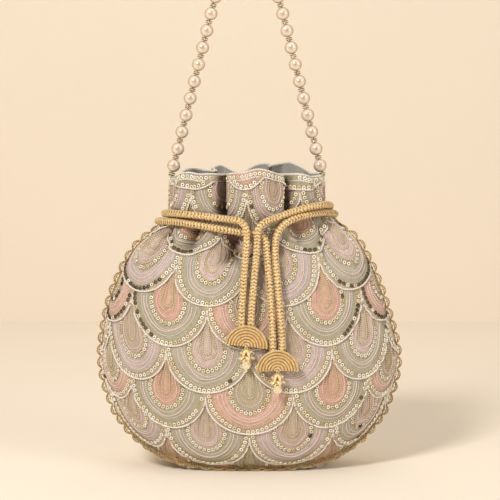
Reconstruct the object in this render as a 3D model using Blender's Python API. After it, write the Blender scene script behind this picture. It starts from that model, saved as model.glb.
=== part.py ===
"""A potli bag: two embroidered panels sewn into a round pouch with a gathered collar, a satin
lining, a scalloped lace in the seam, two drawcords with half-round charms and a handle of pearls.
Units are metres, +Z is up, and the front faces -Y."""
import bpy
import bmesh
import math
import numpy as np
from mathutils import Matrix, Vector

MM = 0.001

# Overall sizes
POUCH_HALF_WIDTH = 0.0998
NECK_HEIGHT = 0.170
NECK_HALF_WIDTH = 0.0520
COLLAR_HALF_WIDTH = 0.0515
RIM_HEIGHT_SIDE = 0.1953
RIM_HEIGHT_MIDDLE = 0.2030
BELLY_DEPTH = 0.0495
NECK_DEPTH = 0.0310
COLLAR_DEPTH = 0.0350
FRONT_NECK_DROP = 0.0062
BACK_NECK_DROP = 0.004
LEAN = 0.0018

# Cloth
PANEL_THICKNESS = 0.0018
LINING_THICKNESS = 0.0008
LINING_EASE = 0.0006
LINING_SLACK = 0.0046
FOLD_HEIGHT = 0.0080
GATHER_HEIGHT = 0.0045
NECK_SKEW = 0.005
CLEARANCE = 0.0003

# Embroidered scales
SCALE_HALF_PITCH = 0.1875
SCALE_ROW = 0.0288
SCALE_FIRST_EDGE = 0.0340
SCALE_RELIEF = 0.0012
COLUMNS_PER_HALF_PITCH = 3
SCALE_LIP = 0.0007

# Lace in the seam
TRIM_THICKNESS = 0.0009
TRIM_REACH = 0.0038
TRIM_CUSP = 0.0010
TRIM_HEADING = 0.0011
TRIM_PITCH = 0.0084
SEAM_FORWARD = 0.022

# Drawcords and charms
CORD_DIAMETER = 0.0048
CORD_POINTS = 79
CHARM_RADIUS = 0.0144
CHARM_HUB = 0.0016
CHARM_THICKNESS = 0.0034
CHARM_RIDGES = 5
CHARM_RIDGE_DEPTH = 0.0007
DROP_BEAD_RADIUS = 0.0028
DROP_SKIRT_RADIUS = 0.0043
DROP_SKIRT_FLATNESS = 0.5
DROP_STEM_RADIUS = 0.0006

# Handle
PEARL_DIAMETER = 0.0090
PEARL_BORE_RADIUS = 0.0010
SPACER_LENGTH = 0.0021
SPACER_RADIUS = 0.0022
THREAD_RADIUS = 0.00045
LOOP_RADIUS = 0.0015
BOW_RISE = 0.1162
BOW_TOP_RADIUS = 0.022

SEAM_SLOPE = 0.707
SEAM_SPLIT = TRIM_THICKNESS / 2 + 2 * CLEARANCE

# Outlines as shares of POUCH_HALF_WIDTH or BELLY_DEPTH, and of NECK_HEIGHT
BOTTOM_OUTLINE = [(0, 0.019), (0.30, 0.026), (0.55, 0.059), (0.76, 0.132), (0.902, 0.226)]
SIDE_OUTLINE = [(0.902, 0.226), (0.977, 0.335), (1, 0.447), (0.972, 0.559), (0.897, 0.712),
                (0.772, 0.859), (0.631, 0.941)]
FRONT_BELLY = [(-0.707, 0.076), (-0.889, 0.206), (-0.985, 0.365), (-1, 0.482), (-0.94, 0.635),
               (-0.828, 0.776), (-0.707, 0.876)]
BACK_BELLY = [(0.485, -0.012), (0.727, 0.03), (0.909, 0.159), (0.99, 0.324), (0.99, 0.471),
              (0.93, 0.624), (0.818, 0.771), (0.707, 0.882)]
BASE_SAG = 0.003
FRONT_CREASES = (-1, -0.222, 0.38, 1)
BACK_CREASES = (-1, -0.38, 0.27, 1)


def clear_scene():
    for item in list(bpy.data.objects):
        bpy.data.objects.remove(item, do_unlink=True)


def make_material(name, colour, roughness, metallic=0.0):
    material = bpy.data.materials.new(name)
    material.use_nodes = True
    shader = material.node_tree.nodes["Principled BSDF"]
    shader.inputs["Base Color"].default_value = (*colour, 1)
    shader.inputs["Roughness"].default_value = roughness
    shader.inputs["Metallic"].default_value = metallic
    material.diffuse_color = (*colour, 1)
    return material


def add_object(name, data, material, parent=None):
    item = bpy.data.objects.new(name, data)
    bpy.context.scene.collection.objects.link(item)
    data.materials.append(material)
    if parent:
        item.parent = parent
    return item


def mesh_object(name, points, faces, material, parent=None):
    mesh = bpy.data.meshes.new(name)
    mesh.from_pydata([tuple(p) for p in points], [], faces)
    shape = bmesh.new()
    shape.from_mesh(mesh)
    bmesh.ops.recalc_face_normals(shape, faces=shape.faces)
    shape.to_mesh(mesh)
    shape.free()
    mesh.shade_smooth()
    mesh.set_sharp_from_angle(angle=math.radians(50))
    return add_object(name, mesh, material, parent)


def smoothstep(low, high, value):
    t = min(1, max(0, (value - low) / (high - low)))
    return t * t * (3 - 2 * t)


def smooth_curve(points, steps=16):
    """Points on a Catmull-Rom curve through the given points."""
    given = [Vector(p) for p in points]
    ends = [2 * given[0] - given[1]] + given + [2 * given[-1] - given[-2]]
    curve = []
    for a, b, c, d in zip(ends, ends[1:], ends[2:], ends[3:]):
        for step in range(steps):
            t = step / steps
            curve.append(0.5 * (2 * b + (c - a) * t + (2 * a - 5 * b + 4 * c - d) * t ** 2
                                + (3 * b - a - 3 * c + d) * t ** 3))
    return curve + [given[-1]]


class Track:
    """A curve that is read by its share of length, from 0 to 1."""

    def __init__(self, points):
        self.points = np.array([tuple(p) for p in smooth_curve(points)])
        steps = np.linalg.norm(np.diff(self.points, axis=0), axis=1)
        self.length = float(steps.sum())
        self.marks = np.concatenate([[0], np.cumsum(steps)]) / self.length

    def at(self, share):
        return [float(np.interp(share, self.marks, column)) for column in self.points.T]


def scaled(points, across, up):
    return [(a * across, b * up) for a, b in points]


SEAM_START = (-SEAM_FORWARD, BOTTOM_OUTLINE[0][1] * NECK_HEIGHT)
BOTTOM = Track(scaled(BOTTOM_OUTLINE, POUCH_HALF_WIDTH, NECK_HEIGHT))
SIDE = Track(scaled(SIDE_OUTLINE, POUCH_HALF_WIDTH, NECK_HEIGHT) + [(NECK_HALF_WIDTH, NECK_HEIGHT)])
SIDE_COLLAR = Track([(NECK_HALF_WIDTH, NECK_HEIGHT), (COLLAR_HALF_WIDTH, RIM_HEIGHT_SIDE)])
FRONT_NECK = (-NECK_DEPTH, NECK_HEIGHT - FRONT_NECK_DROP)
BACK_NECK = (NECK_DEPTH, NECK_HEIGHT - BACK_NECK_DROP)
FRONT = Track([SEAM_START] + scaled(FRONT_BELLY, BELLY_DEPTH, NECK_HEIGHT) + [FRONT_NECK])
BACK = Track([SEAM_START, (-0.7 * SEAM_FORWARD, -BASE_SAG)]
             + scaled(BACK_BELLY, BELLY_DEPTH, NECK_HEIGHT) + [BACK_NECK])
FRONT_COLLAR = Track([FRONT_NECK, (-COLLAR_DEPTH, (FRONT_NECK[1] + RIM_HEIGHT_MIDDLE) / 2),
                      (-COLLAR_DEPTH, RIM_HEIGHT_MIDDLE)])
BACK_COLLAR = Track([BACK_NECK, (COLLAR_DEPTH, (BACK_NECK[1] + RIM_HEIGHT_MIDDLE) / 2),
                     (COLLAR_DEPTH, RIM_HEIGHT_MIDDLE)])
FRONT_SIDE = 1
BACK_SIDE = -1
RIM = 2


def across_and_lift(u):
    """How far out a row is at u, and how far it has risen from its middle to its end."""
    out = math.sin(abs(u) * math.pi / 2)
    x_end, z_end = BOTTOM.points[-1]
    z_start = BOTTOM.points[0][1]
    z = float(np.interp(out * x_end, BOTTOM.points[:, 0], BOTTOM.points[:, 1]))
    return math.copysign(out, u), (z - z_start) / (z_end - z_start)


def bulge(u, creases):
    """A row of tubes between creases, 0 at each crease and 1 on top."""
    for low, high in zip(creases, creases[1:]):
        if low <= u <= high:
            return abs(math.sin(math.pi * (u - low) / (high - low))) ** 0.8
    return 0


def fold(side, u, w, share=1.0):
    """Radial height of the folds: tubes above the drawcord, pockets below it."""
    creases = FRONT_CREASES if side == FRONT_SIDE else BACK_CREASES
    above = FOLD_HEIGHT * smoothstep(1.04, 1.45, w)
    below = GATHER_HEIGHT * smoothstep(0.72, 0.9, w) * (1 - smoothstep(0.9, 0.98, w))
    edge = 1 - abs(u) ** 8
    return (above * share * (bulge(u, creases) - 0.45) - below * share * (bulge(u, creases) - 0.55)) * edge


def under_share(z):
    """How far the seam has turned under the pouch at this height, from 0 to 1."""
    return 1 - smoothstep(0.04, 0.3, z / NECK_HEIGHT)


def seam_depth(z):
    return -SEAM_FORWARD * (1 - smoothstep(0, NECK_HEIGHT / 3, z))


def cloth_point(side, u, w, inset=0.0, split=0.0, fold_share=1.0):
    """A point of the bag's cloth. u runs from seam to seam, and w from the bottom seam (0)
    over the neck (1) to the rim (2). inset moves the point inwards, split moves a panel off the seam."""
    if w <= 1:
        x_side, z_side = SIDE.at(w)
        y_mid, z_mid = (FRONT if side == FRONT_SIDE else BACK).at(w)
    else:
        x_side, z_side = SIDE_COLLAR.at(w - 1)
        y_mid, z_mid = (FRONT_COLLAR if side == FRONT_SIDE else BACK_COLLAR).at(w - 1)
    out, lift = across_and_lift(u)
    low = 1 - smoothstep(0, 0.35, w)
    y_side = seam_depth(z_side)
    depth = math.cos(u * math.pi / 2) ** 1.15 if abs(u) < 1 else 0
    y_mid += inset * (side * (1 - low) + SEAM_SLOPE * low)
    z = z_mid + (z_side - z_mid) * lift + inset * SEAM_SLOPE * low
    z += NECK_SKEW * math.exp(-((w - 1) / 0.35) ** 2) * smoothstep(0, 1, u)
    x = (x_side - inset) * out
    y = y_side + (y_mid - y_side) * depth
    radial = Vector((x / POUCH_HALF_WIDTH, y / BELLY_DEPTH, 0))
    if radial.length > 0:
        radial.normalize()
    point = Vector((x, y, z)) + radial * fold(side, u, w, fold_share)
    tip = under_share(point.z)
    point.y -= side * split * (1 - (1 - SEAM_SLOPE) * tip)
    point.z += side * split * SEAM_SLOPE * tip
    point.z = max(point.z, inset)
    point.x -= LEAN * smoothstep(NECK_HEIGHT * 0.4, NECK_HEIGHT * 0.7, point.z)
    return point


def columns():
    step = SCALE_HALF_PITCH / COLUMNS_PER_HALF_PITCH
    count = int(1 / step)
    inner = [step * i for i in range(-count, count + 1)]
    return [-1.0] + [u for u in inner if abs(u) < 0.99] + [1.0]


def scale_edge(row, u):
    """Height along the middle line of the lower edge of a row of scales at u."""
    shift = row % 2
    local = (u / SCALE_HALF_PITCH + shift + 1) % 2 - 1
    return SCALE_FIRST_EDGE + SCALE_ROW * (row + 0.88 * (1 - math.sqrt(max(0, 1 - local ** 2))))


def panel_rows(length, u):
    """Places along w of each row of points in one column, with the relief at each."""
    least = 0.0012
    rows = [(0.0, 0.0), (SCALE_FIRST_EDGE / 2, SCALE_RELIEF / 2)]
    for row in range(int((0.86 * length - SCALE_FIRST_EDGE) / SCALE_ROW)):
        edge = scale_edge(row, u)
        above = scale_edge(row + 1, u)
        rows += [(edge - SCALE_LIP, 0.0), (edge, SCALE_RELIEF), ((edge + above) / 2, SCALE_RELIEF / 2)]
    places = [place / length for place, _ in rows]
    reliefs = [relief for _, relief in rows]
    neck_rows = (0.89, 0.945, 1.0, 1.07, 1.18, 1.45, 1.75, RIM)
    places += list(neck_rows)
    reliefs += [0.0] * len(neck_rows)
    step = least / length
    for i in range(len(places) - 2, 0, -1):
        places[i] = min(places[i], places[i + 1] - step)
    for i in range(1, len(places) - len(neck_rows)):
        places[i] = max(places[i], places[i - 1] + step)
    return places, reliefs


def outward(side, u, w):
    """The way out of the cloth at a point."""
    step = 0.01
    low, high = max(0, w - step), min(RIM, w + step)
    left, right = max(-1, u - step), min(1, u + step)
    across = cloth_point(side, right, w) - cloth_point(side, left, w)
    up = cloth_point(side, u, high) - cloth_point(side, u, low)
    return (across.cross(up) * side).normalized()


def make_panel(name, side, material):
    """One embroidered panel as a closed shell: a relief outside, a plain face inside."""
    us = columns()
    length = (FRONT if side == FRONT_SIDE else BACK).length
    table = [panel_rows(length, u) for u in us]
    count = len(table[0][0])
    inner_rows = [row for row in range(count) if table[0][1][row] < SCALE_RELIEF]
    points = []
    for row in range(count):
        for u, (places, reliefs) in zip(us, table):
            edge = 1 if abs(u) < 1 else 0
            point = cloth_point(side, u, places[row], split=SEAM_SPLIT)
            if reliefs[row] and edge:
                point += outward(side, u, places[row]) * reliefs[row]
                point.z = max(point.z, 0)
            points.append(point)
    base = len(points)
    for row in inner_rows:
        for u, (places, reliefs) in zip(us, table):
            points.append(cloth_point(side, u, places[row], PANEL_THICKNESS, SEAM_SPLIT))
    wide = len(us)
    faces = []
    for row in range(count - 1):
        for i in range(wide - 1):
            a = row * wide + i
            faces.append((a, a + 1, a + wide + 1, a + wide))
    for k in range(len(inner_rows) - 1):
        for i in range(wide - 1):
            a = base + k * wide + i
            faces.append((a, a + wide, a + wide + 1, a + 1))
        for i in (0, wide - 1):
            rim = [row * wide + i for row in range(inner_rows[k], inner_rows[k + 1] + 1)]
            faces.append(tuple(rim + [base + (k + 1) * wide + i, base + k * wide + i]))
    last = base + (len(inner_rows) - 1) * wide
    for i in range(wide - 1):
        faces.append((i, base + i, base + i + 1, i + 1))
        top = (count - 1) * wide + i
        faces.append((top, top + 1, last + i + 1, last + i))
    return mesh_object(name, points, faces, material)


def make_lining(material):
    """The satin lining: one open pouch, loose below the rim."""
    us = columns()
    rows = (0.0, 0.2, 0.5, 0.8, 1.0, 1.2, 1.6, RIM)
    ring = [(FRONT_SIDE, u) for u in us] + [(BACK_SIDE, u) for u in reversed(us[1:-1])]
    count = len(ring)
    points = []
    for thickness in (0.0, LINING_THICKNESS):
        for w in rows:
            inset = PANEL_THICKNESS + LINING_EASE + thickness
            inset += LINING_SLACK * (1 - smoothstep(1.2, RIM, w))
            share = smoothstep(1.3, RIM, w)
            points += [cloth_point(side, u, w, inset, fold_share=share) for side, u in ring]
    faces = []
    layer = len(rows) * count
    for base in (0, layer):
        for row in range(len(rows) - 1):
            for i in range(count):
                a = base + row * count + i
                b = base + row * count + (i + 1) % count
                faces.append((a, b, b + count, a + count))
    top = (len(rows) - 1) * count
    for i in range(count):
        j = (i + 1) % count
        faces.append((top + i, top + j, layer + top + j, layer + top + i))
    shape = mesh_object("lining", points, faces, material)
    close_pouch_bottom(shape)
    return shape


def close_pouch_bottom(shape):
    """The lowest row of each skin is one seam: its front and back points become one."""
    mesh = bmesh.new()
    mesh.from_mesh(shape.data)
    bmesh.ops.remove_doubles(mesh, verts=mesh.verts, dist=0.00005)
    bmesh.ops.recalc_face_normals(mesh, faces=mesh.faces)
    mesh.to_mesh(shape.data)
    mesh.free()


def seam_stations():
    """Points along the seam from the left rim under the pouch to the right rim, a few for each scallop."""
    left = [cloth_point(FRONT_SIDE, -1, RIM * (1 - i / 120)) for i in range(120)]
    under = [cloth_point(FRONT_SIDE, -1 + i / 40, 0) for i in range(80)]
    right = [cloth_point(FRONT_SIDE, 1, RIM * i / 120) for i in range(121)]
    path = np.array([tuple(p) for p in left + under + right])
    steps = np.linalg.norm(np.diff(path, axis=0), axis=1)
    marks = np.concatenate([[0], np.cumsum(steps)])
    scallops = round(marks[-1] / TRIM_PITCH)
    pitch = marks[-1] / scallops
    shares = (0, 0.24, 0.76)
    places = [(k + share) * pitch for k in range(scallops) for share in shares] + [marks[-1]]
    peaks = [0 if share == 0 else 1 for k in range(scallops) for share in shares] + [0]
    stations = [Vector([np.interp(place, marks, column) for column in path.T]) for place in places]
    return stations, peaks


def make_trim(material):
    """The scalloped lace, caught between the two panels all along the seam."""
    stations, peaks = seam_stations()
    points = []
    for i, (place, peak) in enumerate(zip(stations, peaks)):
        along = (stations[min(i + 1, len(stations) - 1)] - stations[max(i - 1, 0)]).normalized()
        low = under_share(place.z)
        flat = Vector((along.z, 0, -along.x)).normalized()
        if flat.dot(Vector((place.x, 0, place.z - NECK_HEIGHT / 2))) < 0:
            flat = -flat
        away = (flat + low * Vector((0, -1, 0))).normalized()
        normal = along.cross(away).normalized() * TRIM_THICKNESS / 2
        squeezed = 1 - 0.8 * math.exp(-((place.z - NECK_HEIGHT) / 0.010) ** 2)
        reach = (TRIM_CUSP + (TRIM_REACH - TRIM_CUSP) * peak) * squeezed
        root = place - away * TRIM_HEADING
        tip = place + away * reach
        points += [root - normal, root + normal, tip + normal, tip - normal]
    faces = []
    for i in range(len(stations) - 1):
        a = 4 * i
        for k in range(4):
            n = (k + 1) % 4
            faces.append((a + k, a + n, a + 4 + n, a + 4 + k))
    faces += [(0, 1, 2, 3), tuple(range(len(points) - 4, len(points)))]
    return mesh_object("seam_trim", points, faces, material)


# Routes of the two drawcords in millimetres: from the charm up, round the neck, and down again
UPPER_ROUTE = [
    (-5.3, -53.7, 103.8), (-5.1, -53.0, 112), (-4.6, -51.6, 121), (-3.9, -49.4, 130.8), (-3.2, -46.8, 140.5),
    (-2.5, -44.6, 149.8), (-1.9, -43.2, 158.9), (-2.7, -42.2, 166.4), (-7.2, -40.0, 170.6),
    (-14, -37.2, 171.4), (-22, -34.6, 172.2), (-31, -31.7, 173.2), (-41.5, -27.3, 174), (-50.7, -19.4, 174.2),
    (-56, -9.2, 173.7), (-57.6, 1, 172.7), (-55.4, 10.8, 172.1), (-48.5, 20, 171.1), (-38, 27.8, 170),
    (-25, 33.3, 169.2), (-10, 36, 168.7), (6, 36.1, 168.9), (21, 33.5, 170), (34, 28.4, 171.8),
    (44.5, 20.6, 174), (51.8, 10.8, 176.3), (54.7, 0, 177.6), (53.4, -9.6, 179.3), (49.2, -20.4, 180),
    (39.8, -27.5, 179), (28, -31.4, 175.9), (18.5, -35.6, 172.6), (10.6, -39.6, 170),
    (5.9, -42.3, 165.4), (5.1, -43.4, 157.9), (4.6, -44.8, 149.8), (3.8, -46.9, 140.5), (2.9, -49.5, 130.8),
    (2.0, -51.7, 121), (1.3, -53.0, 112), (0.9, -53.7, 103.8),
]
LOWER_ROUTE = [
    (15.3, -53.6, 87.5), (15.0, -53.6, 97), (14.5, -52.9, 108), (13.9, -51.2, 119), (13.1, -48.9, 130.4),
    (12.2, -45.9, 140.5), (11.4, -42.4, 149.8), (10.4, -39.4, 157.4), (6.0, -37.5, 161.3), (-1, -37.3, 162.1),
    (-9, -36.8, 163.3), (-18, -35.2, 164.7), (-28, -32.4, 166.1), (-38, -28.2, 167.4),
    (-47, -21.6, 168.3), (-54.9, -13.3, 168.4), (-61.9, -2.2, 167.6), (-59.0, 9.6, 167), (-50, 18.6, 165.8),
    (-39, 27.2, 164.6), (-25, 33.3, 163.8), (-10, 36, 163.4), (6, 36.1, 163.6), (21, 33.5, 164.7),
    (34, 28.4, 166.5), (44.5, 20.6, 168.7), (53.8, 11.8, 171), (58.1, 0, 172.3), (54.0, -9.8, 174),
    (47.2, -18.4, 174.5), (38.6, -25.9, 173.6), (29.5, -31.2, 171.3), (22.4, -35.2, 167.3),
    (18.2, -38.0, 160.8), (17.0, -40.8, 152.5), (17.3, -44.4, 143.5), (18.2, -48.0, 133.6), (19.3, -51.0, 121),
    (20.4, -52.9, 108), (21.3, -53.6, 97), (21.5, -53.6, 87.5),
]
LEFT_CHARM = (-2.2, -54.8, 89.0)
RIGHT_CHARM = (18.4, -54.8, 72.7)
LEFT_CHARM_TILT = 6.5
RIGHT_CHARM_TILT = -1.0


def make_cord(name, route, material):
    track = Track([Vector(p) * MM for p in route])
    curve = bpy.data.curves.new(name, "CURVE")
    curve.dimensions = "3D"
    line = curve.splines.new("POLY")
    line.points.add(CORD_POINTS - 1)
    for i in range(CORD_POINTS):
        line.points[i].co = (*track.at(i / (CORD_POINTS - 1)), 1)
    curve.bevel_depth = CORD_DIAMETER / 2
    curve.bevel_resolution = 2
    curve.use_fill_caps = True
    return add_object(name, curve, material)


def make_charm(name, centre, tilt, material):
    """A half disc of wound wire: ridged arcs in front, flat behind, with a notch at its hub."""
    half = CHARM_THICKNESS / 2
    profile = [(CHARM_HUB, half), (CHARM_RADIUS, half)]
    turns = 2 * CHARM_RIDGES
    for i in range(turns + 1):
        r = CHARM_RADIUS - (CHARM_RADIUS - CHARM_HUB) * i / turns
        profile.append((r, -half + (CHARM_RIDGE_DEPTH if i % 2 == 0 else 0)))
    steps = 14
    points = []
    for i in range(steps + 1):
        angle = math.pi * i / steps
        points += [(r * math.cos(angle), y, r * math.sin(angle)) for r, y in profile]
    count = len(profile)
    faces = []
    for i in range(steps):
        for k in range(count):
            a = i * count + k
            b = i * count + (k + 1) % count
            faces.append((a, b, b + count, a + count))
    faces += [tuple(range(count)), tuple(range(steps * count, (steps + 1) * count))]
    item = mesh_object(name, points, faces, material)
    item.location = Vector(centre) * MM
    item.rotation_euler = (0, math.radians(tilt), 0)
    return item


def turned(profile, sides):
    """Points and faces of a closed turned shape about Z, from a profile that starts and ends on the axis."""
    points = [(0, 0, profile[0][1])]
    rings = profile[1:-1]
    for r, z in rings:
        points += [(r * math.cos(2 * math.pi * i / sides), r * math.sin(2 * math.pi * i / sides), z)
                   for i in range(sides)]
    points.append((0, 0, profile[-1][1]))
    faces = []
    for k in range(len(rings) - 1):
        for i in range(sides):
            a = 1 + k * sides + i
            b = 1 + k * sides + (i + 1) % sides
            faces.append((a, b, b + sides, a + sides))
    last = 1 + (len(rings) - 1) * sides
    for i in range(sides):
        j = (i + 1) % sides
        faces.append((0, 1 + j, 1 + i))
        faces.append((last + i, last + j, len(points) - 1))
    return points, faces


def make_drop(name, hook, material):
    """A bead drop: a knob held in the charm's hub, a thread, a skirt of leaf sequins and a bead."""
    stem = DROP_STEM_RADIUS
    bead = DROP_BEAD_RADIUS
    skirt = DROP_SKIRT_RADIUS
    knob = CHARM_HUB - 2 * CLEARANCE
    neck = -3.2 * MM
    flare = neck - 5.0 * MM
    middle = flare - 1.2 * MM - bead
    profile = [(0, knob), (0.8 * knob, 0.6 * knob), (knob, 0), (0.7 * knob, -0.7 * knob), (stem, -1.2 * knob),
               (stem, neck), (0.7 * skirt, flare + 1.6 * MM), (skirt, flare), (stem, flare - 0.6 * MM)]
    for angle in (60, 25, -10, -45, -75):
        turn = math.radians(angle)
        profile.append((bead * math.cos(turn), middle + bead * math.sin(turn)))
    profile.append((0, middle - bead))
    points, faces = turned(profile, 10)
    points = [(x, y * (DROP_SKIRT_FLATNESS if middle + bead < z < neck else 1), z) for x, y, z in points]
    item = mesh_object(name, points, faces, material)
    item.location = hook
    return item


def bow_point(share_length):
    """A point of the handle's line, by its length from the left hinge, and the line's whole length."""
    half = COLLAR_HALF_WIDTH
    reach = math.hypot(half, BOW_RISE)
    leg = math.sqrt(reach ** 2 - BOW_TOP_RADIUS ** 2)
    heading = math.atan2(BOW_RISE, half) + math.asin(BOW_TOP_RADIUS / reach)
    arc = 2 * heading
    arc_length = BOW_TOP_RADIUS * arc
    total = 2 * leg + arc_length
    place = min(share_length, total - share_length)
    if place <= leg:
        x = -half + place * math.cos(heading)
        z = place * math.sin(heading)
    else:
        turn = (place - leg) / BOW_TOP_RADIUS
        start = math.pi / 2 + heading
        x = BOW_TOP_RADIUS * math.cos(start - turn)
        z = BOW_RISE + BOW_TOP_RADIUS * math.sin(start - turn)
    if share_length > total / 2:
        x = -x
    return Vector((x, 0, z)), total


LOOP_OUTER = LOOP_RADIUS + THREAD_RADIUS
EYE_INNER = LOOP_RADIUS - CLEARANCE - 2 * THREAD_RADIUS
EYE_OUTER = LOOP_OUTER + CLEARANCE + THREAD_RADIUS
HINGE_HEIGHT = RIM_HEIGHT_SIDE + CLEARANCE + LOOP_OUTER
HINGE_LEFT = Vector((-COLLAR_HALF_WIDTH - LEAN, 0, HINGE_HEIGHT))
HINGE_RIGHT = Vector((COLLAR_HALF_WIDTH - LEAN, 0, HINGE_HEIGHT))


def bead_line():
    """Places of the spacers on the handle's line, from the first gap to the last, from the hinges' middle."""
    _, total = bow_point(0)
    first = EYE_OUTER + THREAD_RADIUS + CLEARANCE
    pitch = PEARL_DIAMETER + SPACER_LENGTH + 2 * CLEARANCE
    half_gap = SPACER_LENGTH / 2 + CLEARANCE
    span = total - 2 * (first - half_gap)
    count = round(span / pitch)
    return [bow_point(first - half_gap + span * i / count)[0] for i in range(count + 1)]


def make_ring(radius, tube, steps, sides, stretch=1.0):
    """A closed ring about X, as points and faces. stretch draws it out along Z."""
    points = []
    for i in range(steps):
        turn = 2 * math.pi * i / steps
        for k in range(sides):
            around = 2 * math.pi * k / sides
            out = tube * math.cos(around)
            points.append((tube * math.sin(around), (radius + out) * math.cos(turn),
                           (radius * stretch + out) * math.sin(turn)))
    faces = []
    for i in range(steps):
        for k in range(sides):
            n = (k + 1) % sides
            j = (i + 1) % steps
            faces.append((i * sides + k, i * sides + n, j * sides + n, j * sides + k))
    return points, faces


def make_loop(name, place, material):
    points, faces = make_ring(LOOP_RADIUS, THREAD_RADIUS, 12, 6)
    item = mesh_object(name, points, faces, material)
    item.location = place
    return item


def ring_round(centre, along, radius, sides):
    """Points of a ring about a direction in the handle's plane."""
    side = Vector((0, 1, 0))
    other = along.cross(side).normalized()
    return [centre + radius * (math.cos(2 * math.pi * k / sides) * side
                               + math.sin(2 * math.pi * k / sides) * other) for k in range(sides)]


def hinge_of(place):
    """The hinge at the end of the handle that is nearer to a place on it."""
    return Vector((math.copysign(COLLAR_HALF_WIDTH, place.x), 0, 0))


def make_string(stations, material, parent):
    """The thread with its spacers, as one swept body from eye to eye."""
    sides = 6
    half = SPACER_LENGTH / 2
    rings = []
    last = len(stations) - 1
    for i, place in enumerate(stations):
        before = stations[max(i - 1, 0)]
        after = stations[min(i + 1, last)]
        along = (after - before).normalized()
        if 0 < i < last:
            for offset, radius in ((-1, THREAD_RADIUS), (-0.7, SPACER_RADIUS), (0.7, SPACER_RADIUS),
                                   (1, THREAD_RADIUS)):
                rings.append(ring_round(place + along * half * offset, along, radius, sides))
        else:
            start = hinge_of(place) + (after - before).normalized() * EYE_OUTER * (1 if i == 0 else -1)
            rings.append(ring_round(start, along, THREAD_RADIUS, sides))
    points = [p for ring in rings for p in ring]
    faces = []
    for i in range(len(rings) - 1):
        for k in range(sides):
            n = (k + 1) % sides
            faces.append((i * sides + k, i * sides + n, (i + 1) * sides + n, (i + 1) * sides + k))
    faces += [tuple(range(sides)), tuple(range(len(points) - sides, len(points)))]
    string = mesh_object("handle_string", points, faces, material, parent)
    for name, place, after in (("left_eye", stations[0], stations[1]),
                               ("right_eye", stations[-1], stations[-2])):
        add_eye(string, name, place, (after - place).normalized(), material, parent)
    return string


def add_eye(string, name, place, along, material, parent):
    """A thread eye at the string's end, which passes through the loop on the rim."""
    radius = (EYE_OUTER - EYE_INNER) / 2
    points, faces = make_ring(radius, THREAD_RADIUS, 12, 6)
    turn = Matrix((along.cross(Vector((0, 1, 0))), Vector((0, 1, 0)), along)).transposed()
    quarter = Matrix.Rotation(math.pi / 2, 3, "Z")
    middle = hinge_of(place) + Vector((0, 0, LOOP_RADIUS))
    points = [middle + turn @ (quarter @ Vector(p)) for p in points]
    eye = mesh_object(name, points, faces, material, parent)
    eye.hide_render = True
    eye.display_type = "WIRE"
    join = string.modifiers.new(name, "BOOLEAN")
    join.operation = "UNION"
    join.object = eye


def make_pearls(stations, material, parent):
    radius = PEARL_DIAMETER / 2
    bore = PEARL_BORE_RADIUS
    pole = math.sqrt(radius ** 2 - bore ** 2)
    sides = 8
    profile = [(bore, -pole)]
    for angle in (-45, 0, 45):
        turn = math.radians(angle)
        profile.append((radius * math.cos(turn), radius * math.sin(turn)))
    profile.append((bore, pole))
    points = [(r * math.cos(2 * math.pi * i / sides), r * math.sin(2 * math.pi * i / sides), z)
              for r, z in profile for i in range(sides)]
    faces = []
    for k in range(len(profile)):
        for i in range(sides):
            j = (i + 1) % sides
            n = (k + 1) % len(profile)
            faces.append((k * sides + i, k * sides + j, n * sides + j, n * sides + i))
    for number, (low, high) in enumerate(zip(stations, stations[1:]), 1):
        item = mesh_object(f"pearl_{number:02d}", points, faces, material, parent)
        item.location = (low + high) / 2
        item.rotation_euler = (high - low).to_track_quat("Z", "Y").to_euler()


def main():
    clear_scene()
    embroidery = make_material("embroidered_cloth", (0.62, 0.55, 0.48), 0.6)
    satin = make_material("grey_satin", (0.30, 0.33, 0.35), 0.4)
    lace = make_material("gold_lace", (0.42, 0.27, 0.11), 0.55)
    cord = make_material("gold_cord", (0.56, 0.36, 0.14), 0.5)
    wire = make_material("gold_wire", (0.72, 0.45, 0.12), 0.35, 0.6)
    bead = make_material("cream_beads", (0.86, 0.72, 0.50), 0.3)
    pearl = make_material("cream_pearl", (0.88, 0.79, 0.68), 0.25)
    spacer = make_material("pewter_spacer", (0.50, 0.44, 0.34), 0.3, 0.8)

    make_panel("front_panel", FRONT_SIDE, embroidery)
    make_panel("back_panel", BACK_SIDE, embroidery)
    make_lining(satin)
    make_trim(lace)
    make_cord("drawcord_upper", UPPER_ROUTE, cord)
    make_cord("drawcord_lower", LOWER_ROUTE, cord)
    for side, centre, tilt in (("left", LEFT_CHARM, LEFT_CHARM_TILT), ("right", RIGHT_CHARM, RIGHT_CHARM_TILT)):
        make_charm(f"charm_{side}", centre, tilt, wire)
        make_drop(f"bead_drop_{side}", Vector(centre) * MM, bead)
    make_loop("handle_loop_left", HINGE_LEFT, cord)
    make_loop("handle_loop_right", HINGE_RIGHT, cord)
    hinge = bpy.data.objects.new("handle_hinge", None)
    bpy.context.scene.collection.objects.link(hinge)
    hinge.location = (-LEAN, 0, HINGE_HEIGHT)
    stations = bead_line()
    make_string(stations, spacer, hinge)
    make_pearls(stations, pearl, hinge)


main()
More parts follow.
